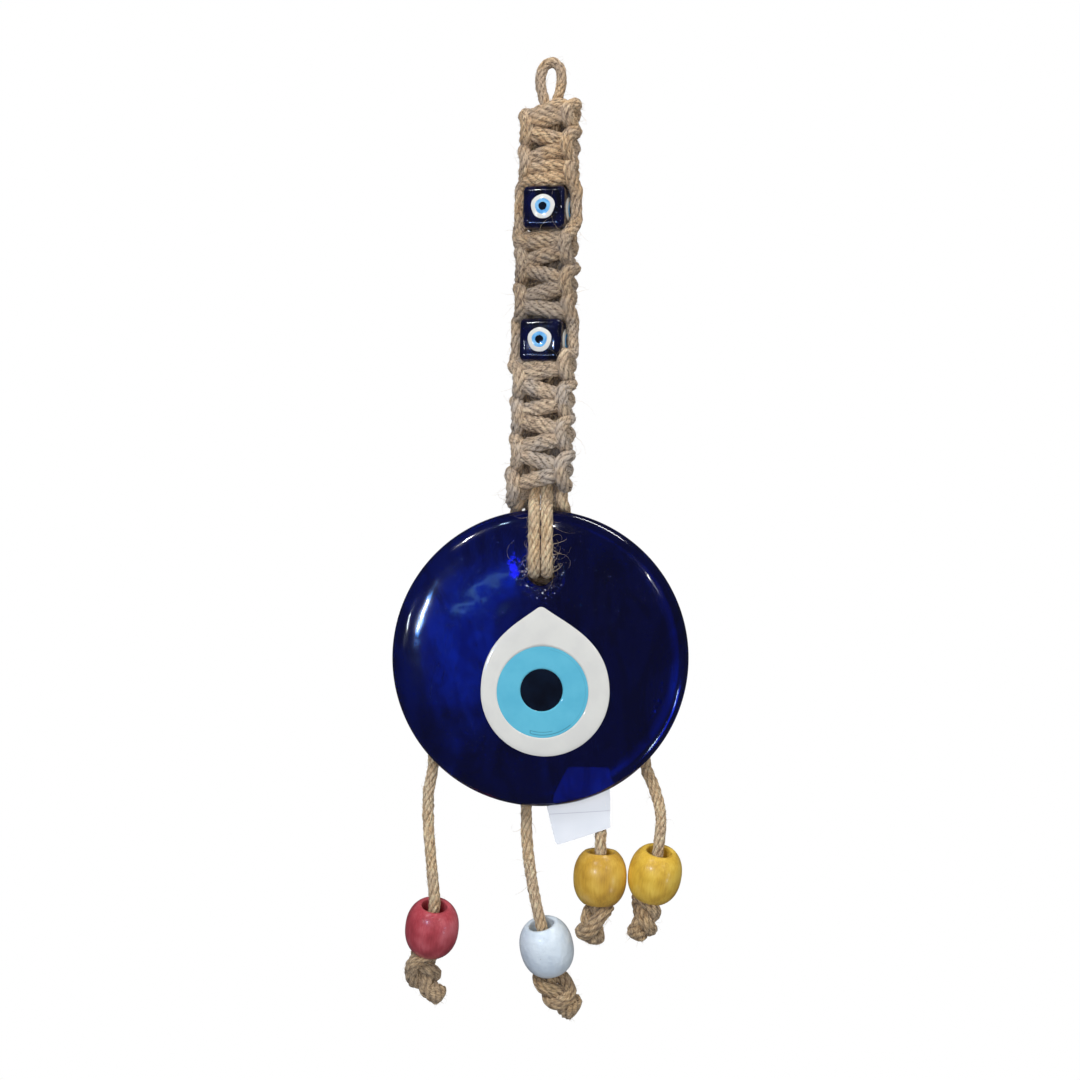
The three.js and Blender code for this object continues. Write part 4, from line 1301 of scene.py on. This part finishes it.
def dot_piece(name, node, slot, level, turn, outer, inner, material):
    """One ring of a cube's eye: slightly domed glass that stands a little proud of the face."""
    a, ring = circle(64)
    radii = outer + (inner - outer) * np.linspace(0, 1, 9) ** 1.3
    r = radii[:, None] * (1 + 0.02 * np.sin(3 * a + turn) + 0.015 * np.sin(5 * a + 2 * turn))
    proud = 0.08 + 0.42 * np.clip(1 - (r / DOT_R) ** 2, 0, 1)
    front = np.stack([r * ring[:, 0], -CUBE / 2 - proud, r * ring[:, 1]], axis=-1)
    back = front.copy()
    back[..., 1] = DOT_DEPTH - CUBE / 2
    points, faces = fused_skin(front, back, solid=inner < 0.3)
    points = points @ turn_about("Z", turn).T + [0, 0, CUBES[level]]
    attach(add_mesh(name, from_strap(points), faces, material), f"cube_{level}", slot, node)


def make_cube(level):
    """A slightly uneven glass cube with its hole and an eye on each upright face."""
    points, faces = rounded_cube(CUBE, CUBE_ROUND)
    points *= 1 + 0.012 * np.sin(points[:, [1, 2, 0]] * 0.9 + 3.0 * CUBES[level])
    cube = add_mesh(f"cobalt_cube_{level}", from_strap(points + [0, 0, CUBES[level]]), faces, CUBE_GLASS)
    weld(cube)
    pierce(cube, level)
    attach(cube, f"cube_{level}", "cobalt_glass", f"cube_bead_{level}")
    for face, turn in (("front", 0), ("right", 90), ("back", 180), ("left", 270)):
        for layer, outer, inner, slot, glass in DOTS:
            names = f"dot_{level}_{face}_{layer}", f"cube_{level}_{face}_{layer}"
            dot_piece(*names, slot, level, turn, outer, inner, glass)


def weld(obj):
    """Joins the vertices that a mesh's grids share along their edges."""
    mesh = bmesh.new()
    mesh.from_mesh(obj.data)
    bmesh.ops.remove_doubles(mesh, verts=mesh.verts, dist=1e-6)
    bmesh.ops.recalc_face_normals(mesh, faces=mesh.faces)
    mesh.to_mesh(obj.data)
    mesh.free()


def pierce(cube, level):
    """Cuts the cube bead's upright hole."""
    ring = CUBE_HOLE_R * circle(64)[1]
    bar = np.vstack([np.column_stack([ring, np.full(64, z)]) for z in (-CUBE, CUBE)])
    tool = add_mesh("hole_tool", from_strap(bar + [0, 0, CUBES[level]]), capped_faces(2, 64), CUBE_GLASS)
    cut = cube.modifiers.new("hole", "BOOLEAN")
    cut.operation, cut.solver, cut.object = "DIFFERENCE", "EXACT", tool
    pierced = bpy.data.meshes.new_from_object(cube.evaluated_get(bpy.context.evaluated_depsgraph_get()))
    cube.modifiers.clear()
    cube.data = pierced
    cube.data.set_sharp_from_angle(angle=math.radians(40))
    bpy.data.objects.remove(tool)


# ---- price label

def make_label():
    """A stiff blank paper label with one thin printed rule, standing in front of the ochre cord."""
    corners = [(8.4, -33.1), (20.6, -33.1), (21.4, -43), (21.4, -52.4), (13.6, -55.0), (6.4, -57.3),
               (5.2, -57.5), (4.5, -56.8), (1.7, -44.9)]
    sides, at_y, thick = 120, 4.85, 0.22
    outline = even_outline(np.array(corners), sides)
    middle = outline.mean(axis=0)
    flat = np.array([middle + (outline - middle) * t for t in np.linspace(1, 0.06, 8)])
    bow = 0.22 * ((flat[..., 0] - middle[0]) / 9) ** 2
    front = np.stack([flat[..., 0], at_y + bow, flat[..., 1]], axis=-1)
    skin = np.vstack([front[::-1], front + [0, thick, 0]])
    quads, caps = capped_faces(len(skin), sides)
    faces = [quads[:, ::-1], [cap[::-1] for cap in caps]]
    label = add_mesh("blank_label", from_disc(skin.reshape(-1, 3)), faces, make_paper())
    label.data.set_sharp_from_angle(angle=math.radians(40))
    attach(label, "disc", "label_paper", "price_label")
    light_through_glass(label)


def light_through_glass(piece):
    """The light that reaches a piece behind the disc through its glass: it lights that piece alone."""
    only = bpy.data.collections.new("lit_through_glass")
    only.objects.link(piece)
    through = area_light("through_glass", (0.0, -0.9, 0.1), 0.5, power=12.0)
    through.light_linking.receiver_collection = only
    through.light_linking.blocker_collection = only


def make_paper():
    s = Shader("label_paper")
    axes = s.axes(s.place)
    tilted = s.maths("MULTIPLY_ADD", axes["X"], -0.06, axes["Z"])
    rule = s.maths("COMPARE", tilted, (DISC_AT[2] - 48.2) * MM, 0.00012)
    fibres = s.noise(s.place, 2600.0)
    sheet = s.ramp(s.noise(s.place, 90.0, detail=2.0), (0.3, srgb(160, 163, 168)), (0.7, srgb(168, 170, 174)))
    return s.finish(Base_Color=s.mix(s.times(rule, 0.55), sheet, srgb(120, 122, 130)), Roughness=0.75,
                    Normal=s.bump(fibres, 0.00005, 0.4))


make_camera()
make_world()
make_floor()
make_lights()
lengths = {}
for number, (colour, tail) in enumerate(TAILS.items(), 1):
    lengths[colour] = make_tail(colour, tail, 100 * number)
make_strap()
make_front_strands()
make_stopper()
make_disc()
make_eye()
for level in CUBES:
    make_cube(level)
make_label()
for piece in bpy.data.objects:      # the photo's glass shows no cord behind it
    if piece.name.startswith(("rear_cord_", "stopper_knot_")):
        piece.visible_transmission = False
print("cord lengths", {k: round(v, 1) for k, v in lengths.items()})
